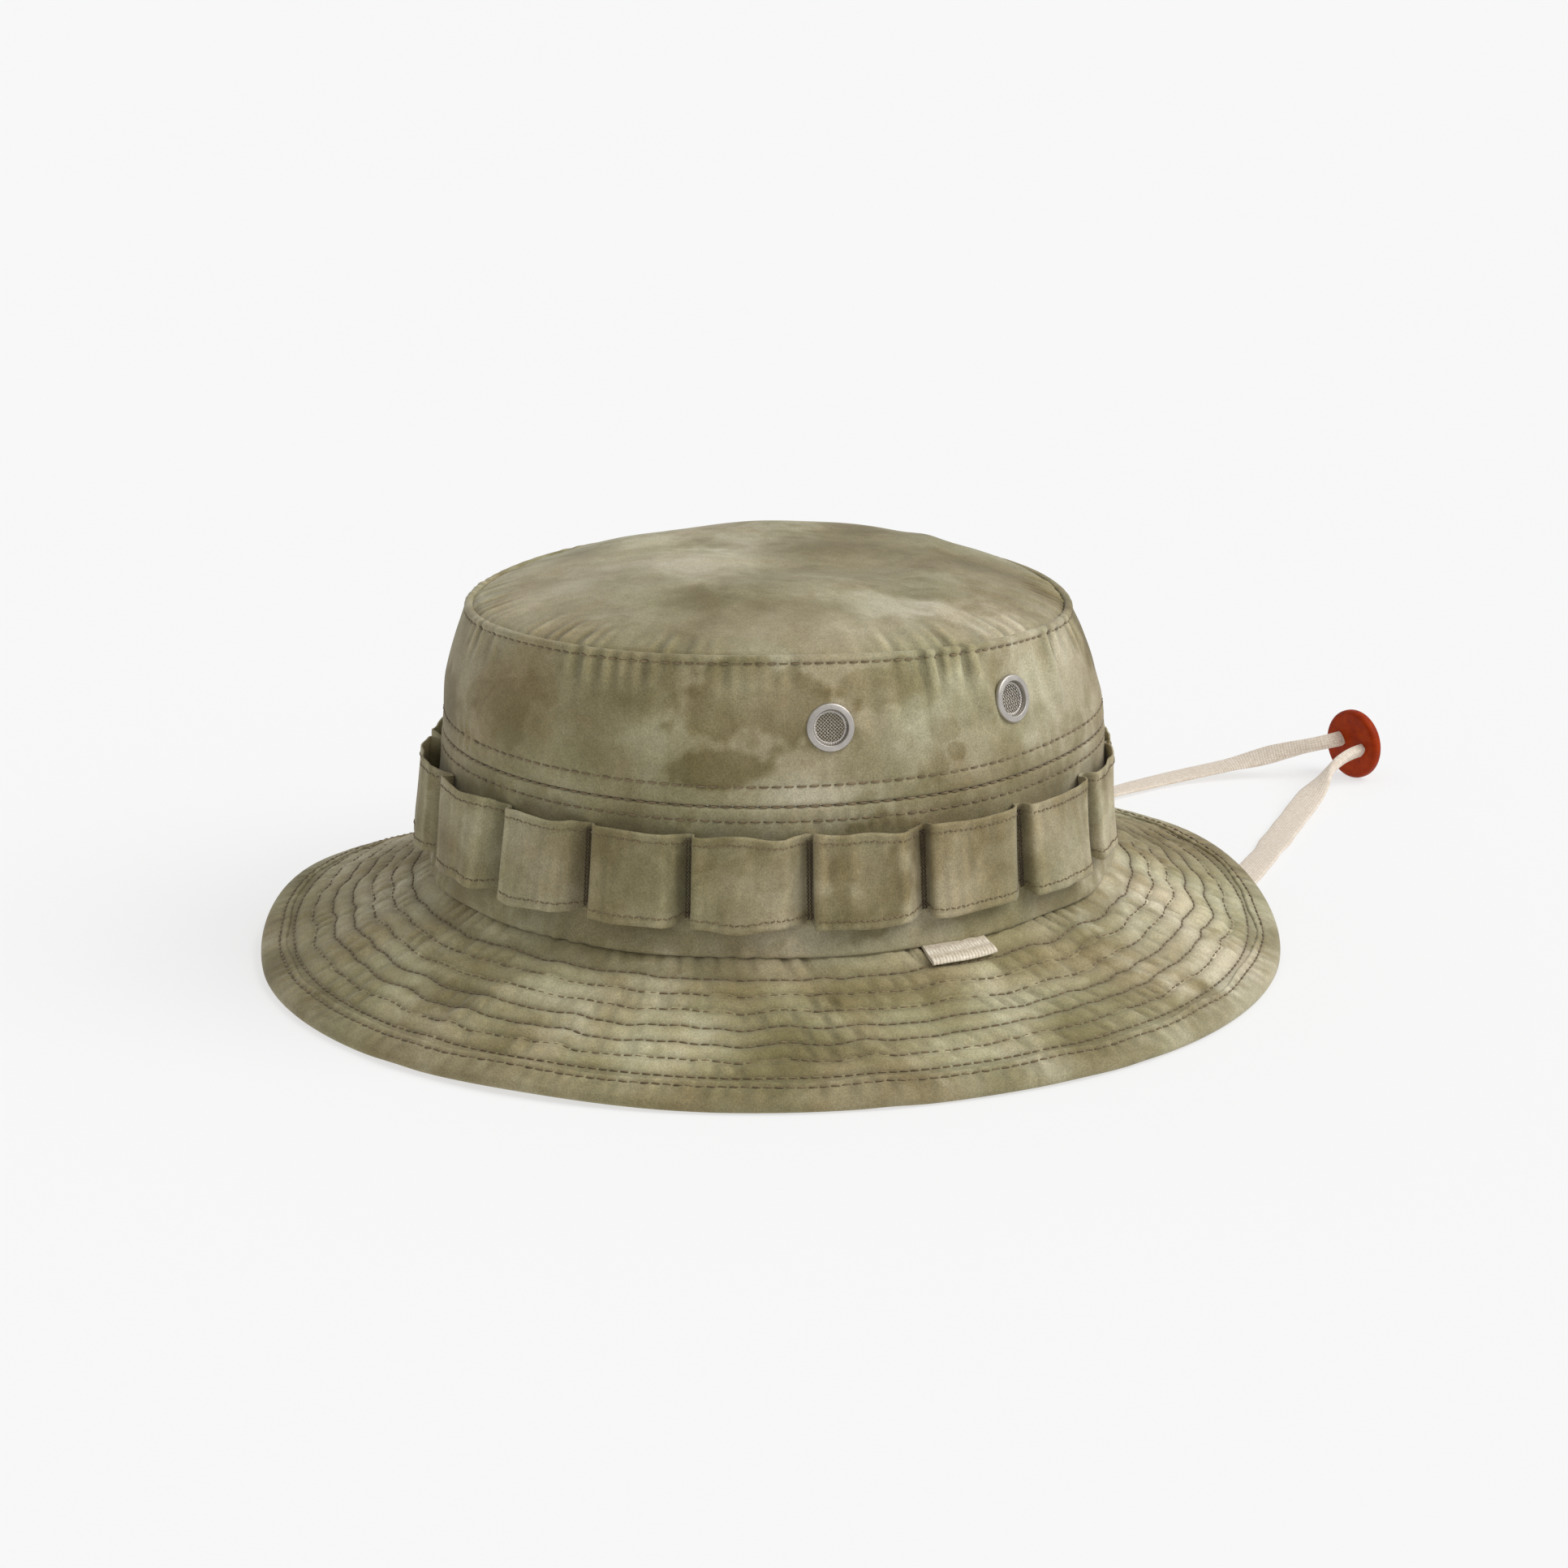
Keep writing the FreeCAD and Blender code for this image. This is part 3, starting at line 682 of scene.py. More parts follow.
def crown_shift(z):
    """Sideways lean of the crown at height z, as a vector in plan."""
    amount = CROWN_SHIFT * smoothstep(BEND_Z, 86 * MM, z)
    return np.stack([amount * math.sin(NEAR), -amount * math.cos(NEAR), 0 * amount], axis=-1)


def side_sway(z, angle):
    """How far the side wanders in and out."""
    sway = 0.45 * MM * ring_noise(72, angle, across=z, waves=6, rate=40, count=10)
    return sway * smoothstep(SEAM_Z, 45 * MM, z) * (1 - smoothstep(98 * MM, RIM_Z, z))


def side_point(offset, z, angle):
    """Point a distance outside the crown's side; the top of the side follows the leaning tip."""
    shift = rim_shift(angle) * smoothstep(BEND_Z, RIM_Z, z)
    point = polar(wall_r(z) + offset + side_sway(z, angle), angle, z + shift)
    return point + crown_shift(np.broadcast_to(z, point.shape[:-1]))


def puckers(seed, angle, z, size):
    """Short upright gathers about `size` apart."""
    waves = int(TURN * BEND_R / size)
    field = ring_noise(seed, angle, across=z, waves=waves, rate=30)
    patchy = ring_noise(seed + 1, angle, waves=9, count=8)
    return field * np.clip(0.6 + 0.6 * patchy, 0.05, 1.8)


def lower_surface(level, angle):
    """Lower side panel; level 0 is tucked under at the brim and 1 turned in at the upper panel."""
    offset, z = read_profile(lower_profile(), level)
    roll = 0.35 * MM * ring_noise(73, angle, waves=12, count=8) * bell(z - SEAM_Z - 2 * MM, 4 * MM)
    gather = 0.16 * MM * puckers(74, angle, z, 6.5 * MM) * bell(z - SEAM_Z - 3 * MM, 7 * MM)
    gather = gather + 0.12 * MM * puckers(76, angle, z, 5 * MM) * bell(z - DITCH_Z - DITCH_ROWS[1], 4 * MM)
    groove = -0.22 * MM * bell(z - DITCH_Z - DITCH_ROWS[1], 0.6 * MM)
    return side_point(offset + roll + gather + groove, z, angle)


def lower_profile():
    """(offset, z) up the lower panel's outside."""
    rolled_seam = [(-1.0, 0.6), (-0.3, 1.15), (1.0, 1.0), (1.75, 1.5), (1.9, 2.8), (1.3, 5.5), (0.4, 10)]
    corners = [placed((0, FOOT_Z), [(-1.2, 0.6)]),
               placed((0, SEAM_Z), rolled_seam),
               placed((0, 0), [(0, 46), (0, 58), (0.05, 63), (0.25, 66.5)]),
               placed((0, DITCH_Z), [(0.2, -0.7), (-0.35, -0.15), (-1.1, -0.1)])]
    return smooth_path(np.concatenate(corners), 92)


def upper_profile():
    """(offset, z) up the upper panel's outside, over the welt and into the tip seam."""
    welt = [(0.5, -0.9), (0.5, -0.1), (0, 0.45), (-1.0, 0.45), (-1.75, -0.2), (-1.9, -1.0)]
    corners = [placed((0, DITCH_Z), [(-1.1, 0.1), (-0.35, 0.15), (0.2, 0.7), (0.25, 2.5), (0.05, 6)]),
               placed((0, 0), [(0, 80), (0, 90), (0, 98)]),
               placed((0, RIM_Z), [(0, -4.4)]),
               placed((0, RIM_Z - WELT_H), [(0.05, -0.3)]),
               placed((0, RIM_Z), welt)]
    return smooth_path(np.concatenate(corners), 100)


def upper_surface(level, angle):
    """Upper side panel; level 0 is folded in at the lower panel and 1 turned into the tip seam."""
    offset, z = read_profile(upper_profile(), level)
    welt_z = RIM_Z - WELT_H
    gather = 0.20 * MM * puckers(78, angle, z, 6 * MM) * bell(z - welt_z + 2 * MM, 6 * MM)
    gather = gather + 0.12 * MM * puckers(80, angle, z, 5 * MM) * bell(z - DITCH_Z - DITCH_ROWS[0], 4 * MM)
    drape = 0.5 * MM * hump(angle, 15, 60) * ring_noise(82, angle, across=z, waves=46, lean=1.0, rate=25)
    drape = drape * smoothstep(80 * MM, 92 * MM, z) * (1 - smoothstep(100 * MM, RIM_Z, z))
    groove = -0.25 * MM * bell(z - DITCH_Z - DITCH_ROWS[0], 0.6 * MM)
    groove = groove - 0.3 * MM * bell(z - welt_z, 0.55 * MM) * (offset > -0.5 * MM)
    return side_point(offset + gather + drape + groove, z, angle)


def level_of(profile, z, low, high):
    """Share of the way along a profile at which it has height z, looked for between two shares."""
    share = np.linspace(0, 1, len(profile))
    keep = (share > low) & (share < high)
    return float(np.interp(z, profile[keep, 1], share[keep]))


def tip_surface(q, angle):
    """Tip panel: q is the share of the way from its middle to the seam."""
    edge = TIP_R - 0.9 * MM
    r = q * edge
    plan = polar(r, angle, 0.0)
    dome = DOME * (1 - q ** (3.4 + 1.8 * hump(angle, 105, 110))) - 0.8 * MM * smoothstep(0.97, 1.0, q)
    leaning = rim_shift(angle) * smoothstep(0.0, 1.0, q) - RIM_SINK * (1 - smoothstep(0.0, 1.0, q))
    plan = plan + crown_shift(np.full(q.shape, RIM_Z))
    away = (1 - q) * edge
    gather = 0.26 * MM * puckers(84, angle, 0.0, 7 * MM) * bell(away - 3 * MM, 7 * MM)
    folds = 0.55 * MM * hump(angle, 10, 55) * ring_noise(86, angle, waves=34)
    folds = folds * bell(away - 12 * MM, 13 * MM)
    dents = 0.55 * MM * space_noise(87, plan, 26 * MM) * (1 - q ** 4)
    sideways = plan[..., 1] * math.cos(NEAR) - plan[..., 0] * math.sin(NEAR)
    crease = 0.9 * MM * bell(sideways - 45 * MM, 5 * MM) * bell(away - 20 * MM, 16 * MM)
    z = RIM_Z + dome + leaning + gather + folds + dents + crease
    return np.concatenate([plan[..., :2], z[..., None]], axis=-1)


def make_tip():
    """Tip panel, a square grid rounded to a disc so that its middle has no pinched point."""
    count = 214
    u, v = np.meshgrid(np.linspace(-1, 1, count), np.linspace(-1, 1, count))
    x, y = u * np.sqrt(1 - v * v / 2), v * np.sqrt(1 - u * u / 2)
    q, angle = np.hypot(x, y), np.arctan2(y, x)
    outer = tip_surface(np.minimum(q, 1), angle)
    # Painted shade and light on the gathers by the tip seam.
    relief_shade = 0.5 + 0.5 * puckers(84, angle, 0.0, 7 * MM) * bell((1 - q) * TIP_R - 3 * MM, 7 * MM)
    facts = cloth_facts(outer, relief_shade, outer * [1, 1, 0])
    verts = np.concatenate([outer, outer - np.array([0, 0, SIDE_SKIN])]).reshape(-1, 3)
    top = np.array(grid_faces(count, count, False, False))
    rim = np.concatenate([np.arange(count), np.arange(1, count) * count + count - 1,
                          (count - 1) * count + np.arange(count - 2, -1, -1),
                          np.arange(count - 2, 0, -1) * count])
    skirt = np.stack([rim, rim + count * count, np.roll(rim, -1) + count * count, np.roll(rim, -1)], axis=1)
    faces = top.tolist() + (top[:, ::-1] + count * count).tolist() + skirt.tolist()
    double = {key: np.concatenate([value, value]) for key, value in facts.items()}
    piece = add_mesh("crown_tip_cloth", verts, faces, double)
    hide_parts("crown_tip")
    return piece


def make_crown():
    """The side's two panels and the tip."""
    angle = ring_angles(SIDE_COLUMNS)[None]
    levels = np.linspace(0, 1, 92)[:, None]
    outer = lower_surface(levels, angle)
    low = cloth_piece("side_lower_cloth", ["crown_side_lower"], outer, SIDE_SKIN, 0.5, 6)
    levels = np.linspace(0, 1, 88)[:, None]
    outer = upper_surface(levels, angle)
    _, z = read_profile(upper_profile(), levels)
    # Painted shade and light on the gathers under the welt.
    relief_shade = 0.5 + 0.4 * puckers(78, angle, z, 6 * MM) * bell(z - RIM_Z + WELT_H + 2 * MM, 6 * MM)
    high = cloth_piece("side_upper_cloth", ["crown_side_upper"], outer, SIDE_SKIN, relief_shade, 6)
    return [low, high, make_tip()]


def make_crown_threads():
    """Topstitching of the lapped seam and of the tip seam."""
    upper, lower = upper_profile(), lower_profile()
    above = level_of(upper, DITCH_Z + DITCH_ROWS[0], 0.1, 0.7)
    below = level_of(lower, DITCH_Z + DITCH_ROWS[1], 0.3, 0.97)
    welt = level_of(upper, RIM_Z - WELT_H, 0.3, 0.93)
    rows = [stitch_line(upper_surface, above, SIDE_STITCH), stitch_line(lower_surface, below, SIDE_STITCH)]
    side = add_stitches("side_topstitching", rows)
    rim = add_stitches("tip_topstitching", [stitch_line(upper_surface, welt, RIM_STITCH)])

    def ditch(level, angle):
        return side_point(-0.25 * MM, DITCH_Z + level, angle)

    row = stitch_line(ditch, 0.0, SIDE_STITCH)
    seam = add_stitches("side_seam_thread", [row], thread_r=0.3 * MM, gap=0.12)
    return [side, rim, seam]


# ---- Foliage band ----------------------------------------------------------------------
PITCH = 360.0 / LOOPS
HEM, HEM_SPAN = 2.4 * MM, 25 * MM     # stitch row from the band's edge, and about the band's height
FOLD = [(0.0, 0.9), (0.42, 0.95), (0.62, 1.4), (0.75, 4.6), (0.9, 5.5), (1.4, 6.1), (3.0, 6.6),
        (6.5, 7.1), (11.0, 7.1), (14.6, 6.7), (15.5, 6.5), (15.95, 6.1), (16.3, 5.5), (17.7, 3.6),
        (19.1, 1.5), (19.5, 0.95), (20.0, 0.9)]     # degrees from a tack and mm off the side
FOLD_POINTS = 64
LOOP_LEAN = 1.6                      # degrees that the loops at the front lean over


def fold_path():
    """(degrees, stand-off) of one loop from tack to tack."""
    scaled = smooth_path([(math.radians(a) * BEND_R, stand * MM) for a, stand in FOLD], FOLD_POINTS + 1)
    scaled[:, 0] = np.degrees(scaled[:, 0] / BEND_R)
    return scaled


FOLD_PATH = fold_path()


def band_surface(level, along):
    """Band at a share of its height; `along` runs from 0 to 2 pi over the whole strip of loops."""
    loops = np.random.default_rng(91)
    bulge, shift, tilt, swell = (loops.uniform(-1, 1, LOOPS) for _ in range(4))
    place = np.mod(along / TURN * LOOPS, LOOPS)
    loop = np.minimum(place.astype(int), LOOPS - 1)
    degrees, stand = read_profile(FOLD_PATH, place - loop)
    free = smoothstep(1.0, 5.5, stand / MM)
    face = np.sin(math.pi * degrees / PITCH)
    late = smoothstep(10.0, 15.5, degrees)
    sway = 0.7 * shift[loop] + (0.9 + 0.8 * tilt[loop]) * (level - 0.5)
    lean = LOOP_LEAN * hump(np.radians(TACK_FIRST + PITCH * loop), -75, 50) - 0.25
    degrees = degrees + free * (late * sway + (1 - smoothstep(2.0, 9.0, degrees)) * lean)
    stretch = (tack_angle(loop + 1) - tack_angle(loop)) / math.radians(PITCH)
    angle = tack_angle(loop) + np.radians(degrees) * stretch
    squash = 1 - 0.7 * hump(angle, 64, 36) - 0.2 * hump(angle, -118, 40)
    belly = MM * (0.45 * bulge[loop] + 0.4 * swell[loop] * (level - 0.5))
    stand = squash * (stand * (1.02 - 0.13 * level) + free * belly)
    stand = stand + free * 0.22 * MM * ring_noise(92, angle, across=level, waves=40, rate=2.0)
    stand = stand - free * 0.35 * MM * face * np.sin(math.pi * level)
    from_edge = 0.5 - np.abs(level - 0.5)
    fold_over = smoothstep(0.0, 0.02, 0.125 - from_edge)
    stitched = bell(from_edge * HEM_SPAN - HEM, 0.5 * MM)
    stand = stand + 0.12 * MM * (fold_over - stitched)
    edge = 2 * level - 1
    z = BAND_LO + 0.4 * MM + level * (BAND_HI - BAND_LO - 0.5 * MM)
    z = z + 0.22 * MM * edge * ring_noise(93, angle, waves=26) - 0.7 * MM * edge * (1 - free)
    z = z + 0.8 * MM * free * tilt[loop] * (degrees / PITCH - 0.5) + 0.3 * MM * swell[loop]
    return polar(wall_r(z) + side_sway(z, angle) + stand, angle, z)


def tack_angle(k):
    """Plan angle of tack k; the loops are wider right of the wearer's front and closer left of it."""
    even = np.radians(TACK_FIRST + PITCH * k)
    return even + np.radians(4.3 * hump(even, -88, 52) - 1.0 * hump(even, 8, 40))


def make_band():
    """The strip of loops and the stitches of its hems."""
    levels = np.linspace(0, 1, 26)[:, None]
    along = ring_angles(LOOPS * FOLD_POINTS)[None]
    outer = band_surface(levels, along)
    place = np.mod(along / TURN * LOOPS, 1)
    # Painted light and shade: highlights on the loops' fold corners and on the band's hemmed edges, shade
    # in the recesses beside the tacks.
    fold_highlight = bell(place - 0.20, 0.025) + 0.7 * bell(place - 0.74, 0.03)
    edge = bell(0.5 - np.abs(levels - 0.5), 0.025)
    recess_shade = bell(place - 0.93, 0.075) + bell(place - 0.03, 0.05)
    relief_shade = 0.5 + 0.5 * fold_highlight + 0.6 * edge - 0.75 * recess_shade
    relief_shade = relief_shade + 0.12 * ring_noise(94, along, across=levels, waves=160, rate=6)
    loops = [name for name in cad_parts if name.startswith("foliage_loop")]
    piece = cloth_piece("foliage_band_cloth", loops, outer, BAND_SKIN, relief_shade, 5)
    share = HEM / (BAND_HI - BAND_LO)
    rows = [stitch_line(band_surface, level, HEM_STITCH, 9000) for level in (share, 1 - share)]
    hems = add_stitches("foliage_band_hem_thread", rows, FINE_THREAD_R, zigzag=0.2 * MM)
    return piece, hems


def make_tacks():
    """Each loop is held by two close rows of satin stitches."""
    rows = []
    for k in range(LOOPS):
        angle = float(tack_angle(k))
        normal = unit(np.array([math.cos(angle) / WIDE, math.sin(angle) / LONG, 0]))
        side = np.array([-normal[1], normal[0], 0])
        z = np.arange(BAND_LO + 1.8 * MM, BAND_HI - 1.9 * MM, 0.55 * MM)
        for shift in (-0.42 * MM, 0.42 * MM):
            points = polar(wall_r(z) + 1.35 * MM, angle, z) + side * shift
            rows.append((points, np.broadcast_to(normal, points.shape)))
    piece = add_stitches("foliage_bar_tack_thread", rows, FINE_THREAD_R, gap=0.0, zigzag=0.22 * MM)
    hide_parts("foliage_bar_tacks")
    return piece


# ---- Eyelets ---------------------------------------------------------------------------
HOLE_R, SCREEN_R = 4.9 * MM, 4.5 * MM
WIRE_PITCH, WIRE_R, WIRE_SIDES = 0.68 * MM, 0.09 * MM, 5


def eyelet_axes(angle_degrees):
    """Centre on the cloth, and the three directions: across, up and out of the cloth."""
    angle = math.radians(angle_degrees)
    place = side_point(0.0, np.array(EYELET_Z), np.array(angle))
    centre = np.array([place[0], place[1], EYELET_Z])
    out = unit(np.array([math.cos(angle) / WIDE, math.sin(angle) / LONG, 0.0]))
    out[2] = float(wall_r(EYELET_Z - MM) - wall_r(EYELET_Z + MM)) / (2 * MM)
    out = unit(out)
    across = unit(np.cross([0, 0, 1], out))
    return centre, across, np.cross(out, across), out


def place_local(points, axes):
    """Points given across, up and out, moved to where the axes stand."""
    centre, across, up, out = axes
    return centre + points[..., :1] * across + points[..., 1:2] * up + points[..., 2:] * out


def lathe(profile, columns, ripple=0.0, ripples=0):
    """Points of a profile turned about the local third axis, rippled along it."""
    angle = ring_angles(columns)[None]
    r, h = profile[:, :1], profile[:, 1:]
    wave = ripple * np.cos(ripples * angle)
    return np.stack(np.broadcast_arrays(r * np.cos(angle), r * np.sin(angle), h + wave), axis=-1)


def make_eyelet(place, angle):
    """Turned ring, the frayed edge of its screen and the screen."""
    axes = eyelet_axes(angle)
    flange = [(4.85, -1.0), (4.85, 0.5), (4.95, 0.9), (5.15, 1.0), (6.25, 0.84), (6.5, 0.68),
              (6.65, 0.3), (6.62, -0.3), (6.0, -0.5), (5.2, -1.0), (4.85, -1.0)]
    flange = smooth_path(placed((0, 0), flange), 40)[:-1]
    points = place_local(lathe(flange, 96), axes)
    faces = grid_faces(len(flange), 96, True, True)
    ring = add_mesh("eyelet_ring_%s_turned" % place, points, faces)
    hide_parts("eyelet_ring_" + place)

    crimp = [(5.0, -0.5), (4.6, -0.28), (4.2, -0.2), (3.95, -0.42), (3.95, -0.62), (5.0, -0.8)]
    points = place_local(lathe(placed((0, 0), crimp), 160, ripple=0.07 * MM, ripples=40), axes)
    fringe = add_mesh("eyelet_fringe_%s" % place, points, grid_faces(len(crimp), 160, True, True))
    screen = make_screen("eyelet_screen_" + place, axes)
    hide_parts("eyelet_mesh_" + place)
    return [ring, fringe], screen


def make_screen(name, axes):
    """Plain-woven wire cloth cut to a disc on the bias."""
    bias = np.array([[1, 1, 0], [-1, 1, 0], [0, 0, math.sqrt(2)]]) / math.sqrt(2)
    turn = ring_angles(WIRE_SIDES)
    verts, faces, start = [], [], 0
    lines = np.arange(-7, 8) * WIRE_PITCH
    for way in (0, 1):
        for index, offset in enumerate(lines):
            if abs(offset) >= SCREEN_R:
                continue
            half = math.sqrt(SCREEN_R ** 2 - offset ** 2)
            count = max(4, int(2 * half / (WIRE_PITCH / 4)))
            x = np.linspace(-half, half, count)
            sign = 1 if (index + way) % 2 else -1
            z = -0.55 * MM + sign * WIRE_R * np.cos(math.pi * x / WIRE_PITCH)
            y = np.full(count, offset)
            line = np.stack([x, y, z] if way == 0 else [y, x, z], axis=-1)
            sideways = np.array([0, 1, 0] if way == 0 else [1, 0, 0])
            ring = sideways * np.cos(turn)[:, None] + np.array([0, 0, 1]) * np.sin(turn)[:, None]
            tube = line[:, None] + ring[None] * WIRE_R
            verts.append(place_local(tube @ bias, axes).reshape(-1, 3))
            faces += grid_faces(count, WIRE_SIDES, False, True, start)
            end = start + (count - 1) * WIRE_SIDES
            faces.append(list(range(start, start + WIRE_SIDES)))
            faces.append(list(range(end, end + WIRE_SIDES)))
            start = end + WIRE_SIDES
    return add_mesh(name, np.concatenate(verts), faces)


def pierce(piece):
    """Open the cloth behind each eyelet, where the flange covers the cut edge."""
    mesh = piece.data
    centres = np.array([face.center for face in mesh.polygons])
    cut = np.zeros(len(centres), dtype=bool)
    for angle in EYELET_ANGLES.values():
        centre, _, _, out = eyelet_axes(angle)
        away = centres - centre
        depth = away @ out
        aside = np.sqrt(np.maximum((away ** 2).sum(axis=1) - depth ** 2, 0))
        cut |= (aside < HOLE_R + 0.2 * MM) & (np.abs(depth) < 6 * MM)
    sheet = bmesh.new()
    sheet.from_mesh(mesh)
    sheet.faces.ensure_lookup_table()
    doomed = [sheet.faces[k] for k in np.flatnonzero(cut)]
    bmesh.ops.delete(sheet, geom=doomed, context="FACES")
    sheet.to_mesh(mesh)
    sheet.free()


# ---- Label, bands inside, toggle -------------------------------------------------------
LABEL_W = 19.0 * MM
RIB = 0.95 * MM                      # from one rib of the label to the next


def make_label():
    """Blank folded tape in the brim seam, ribbed over its lower half."""
    profile = smooth_path([(-1.5, 0.45), (2.0, 0.5), (5.6, 0.4), (6.35, 0.6), (6.5, 0.95), (6.3, 1.3),
                           (5.6, 1.45), (3.3, 1.5), (0.0, 1.35), (-1.5, 1.2)], 44) * MM
    across = np.linspace(-LABEL_W / 2, LABEL_W / 2, 150)[None]
    down, height = profile[:, :1], profile[:, 1:]
    upper = np.linspace(0, 1, len(profile))[:, None] > 0.55
    ribs = 0.26 * MM * np.abs(np.sin(math.pi * across / RIB)) * upper
    ribs = ribs * smoothstep(3.0 * MM, 3.4 * MM, down)
    bend = 0.35 * MM * (across / LABEL_W * 2) ** 2
    angle = math.radians(LABEL_ANGLE) + across / SEAM_R
    s = down + 1.6 * MM - 0.5 * MM * across / LABEL_W
    lift = bend * smoothstep(2 * MM, 6 * MM, down) + PUFF * 0.8 + brim_ridge(s, angle)
    points = brim_base(s, angle, height + ribs + lift)
    columns = across.size
    faces = [face[::-1] for face in grid_faces(len(profile), columns, True, False)]
    for column in (0, columns - 1):
        faces.append([k * columns + column for k in range(len(profile))])
    cloth = np.stack(np.broadcast_arrays(across, down, 0.0), axis=-1)
    piece = add_mesh("side_label_tape", points, faces, {"weave": cloth})
    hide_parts("side_label")
    return piece


def inner_ring(name, node, low, high, inset, thickness, seed):
    """Soft band sewn inside the crown."""
    rows, columns = 22, 600
    angle = ring_angles(columns)[None]
    z = np.linspace(low, high, rows)[:, None]
    wave = 0.25 * MM * ring_noise(seed, angle, across=z, waves=40, rate=60)
    rolled = 0.3 * MM * (bell(z - low, 1.5 * MM) + bell(z - high, 1.5 * MM))
    outer = side_point(wave * 0.3 - rolled - inset, z, angle)
    inner = side_point(wave * 0.3 - rolled - inset - thickness, z, angle)[::-1]
    cloth = np.stack(np.broadcast_arrays(angle * BEND_R, z, 0.0), axis=-1)
    faces = grid_faces(2 * rows, columns, True, True)
    facts = {"weave": np.concatenate([cloth, cloth[::-1]])}
    piece = add_mesh(name, np.concatenate([outer, inner]), faces, facts)
    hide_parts(node)
    return piece


def make_inner_threads():
    """Stitch rows of the sweatband and the seam tape."""
    def inside(level, angle):
        return side_point(-2.15 * MM, level, angle)

    heights = (SWEAT_LO + 2 * MM, SWEAT_HI - 2 * MM, TAPE_LO + 1.2 * MM)
    return add_stitches("inside_thread", [stitch_line(inside, z, RIM_STITCH) for z in heights], outward=-1)


HOLE_OUT, CORD_HOLE_R, HOLE_TILT = 4.65 * MM, 2.75 * MM, math.radians(12)     # the toggle's two holes


def make_toggle():
    """Leather disc with rounded edges and two holes, slightly dished."""
    lo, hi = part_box("cord_toggle")
    centre = np.array((lo + hi) / 2)
    radius = (hi.z - lo.z) / 2
    half = 1.8 * MM
    profile = [(0.0, half - 0.25 * MM), (radius * 0.55, half - 0.12 * MM), (radius - 1.6 * MM, half),
               (radius - 0.75 * MM, half - 0.12 * MM), (radius - 0.2 * MM, half - 0.65 * MM),
               (radius, half - 1.3 * MM), (radius, 0.0)]
    top = smooth_path(profile, 40)
    outline = np.concatenate([top, (top * [1, -1])[-2::-1]])[1:-1]
    out = np.array(SLIDE)
    across = np.array([-SLIDE.y, SLIDE.x, 0])
    axes = (centre, across, np.cross(out, across), out)
    columns = 128
    ring = place_local(lathe(outline, columns), axes)
    faces = [face[::-1] for face in grid_faces(len(outline), columns, False, True)]
    faces.append(list(range(columns)))
    faces.append([(len(outline) - 1) * columns + k for k in range(columns)][::-1])
    disc = add_mesh("toggle_disc", ring, faces)
    holes = []
    for side in (1, -1):
        offset = np.array([math.cos(HOLE_TILT), -math.sin(HOLE_TILT), 0]) * HOLE_OUT * side
        tube = lathe(placed((CORD_HOLE_R, 0), [(0, -4), (0, 4)]), 48) + offset
        caps = [list(range(48)), list(range(48, 96))[::-1]]
        body = [face[::-1] for face in grid_faces(2, 48, False, True)]
        holes.append(add_mesh("hole", place_local(tube, axes), body + caps))
    for hole in holes:
        cut = disc.modifiers.new("hole", "BOOLEAN")
        cut.operation, cut.solver, cut.object = "DIFFERENCE", "EXACT", hole
    bevel = disc.modifiers.new("burnish_and_relief_shade", "BEVEL")
    bevel.width, bevel.segments, bevel.limit_method = 0.45 * MM, 3, "ANGLE"
    bevel.angle_limit = math.radians(50)
    graph = bpy.context.evaluated_depsgraph_get()
    mesh = bpy.data.meshes.new_from_object(disc.evaluated_get(graph))
    for spare in [disc] + holes:
        bpy.data.objects.remove(spare)
    mesh.polygons.foreach_set("use_smooth", [True] * len(mesh.polygons))
    piece = add_object("cord_toggle_leather", mesh)
    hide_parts("cord_toggle")
    return piece


# ---- Materials -------------------------------------------------------------------------
def colour(r, g, b):
    """Scene colour from 0-255 display values."""
    def linear(v):
        v /= 255
        return v / 12.92 if v <= 0.04045 else ((v + 0.055) / 1.055) ** 2.4
    return (linear(r), linear(g), linear(b), 1.0)


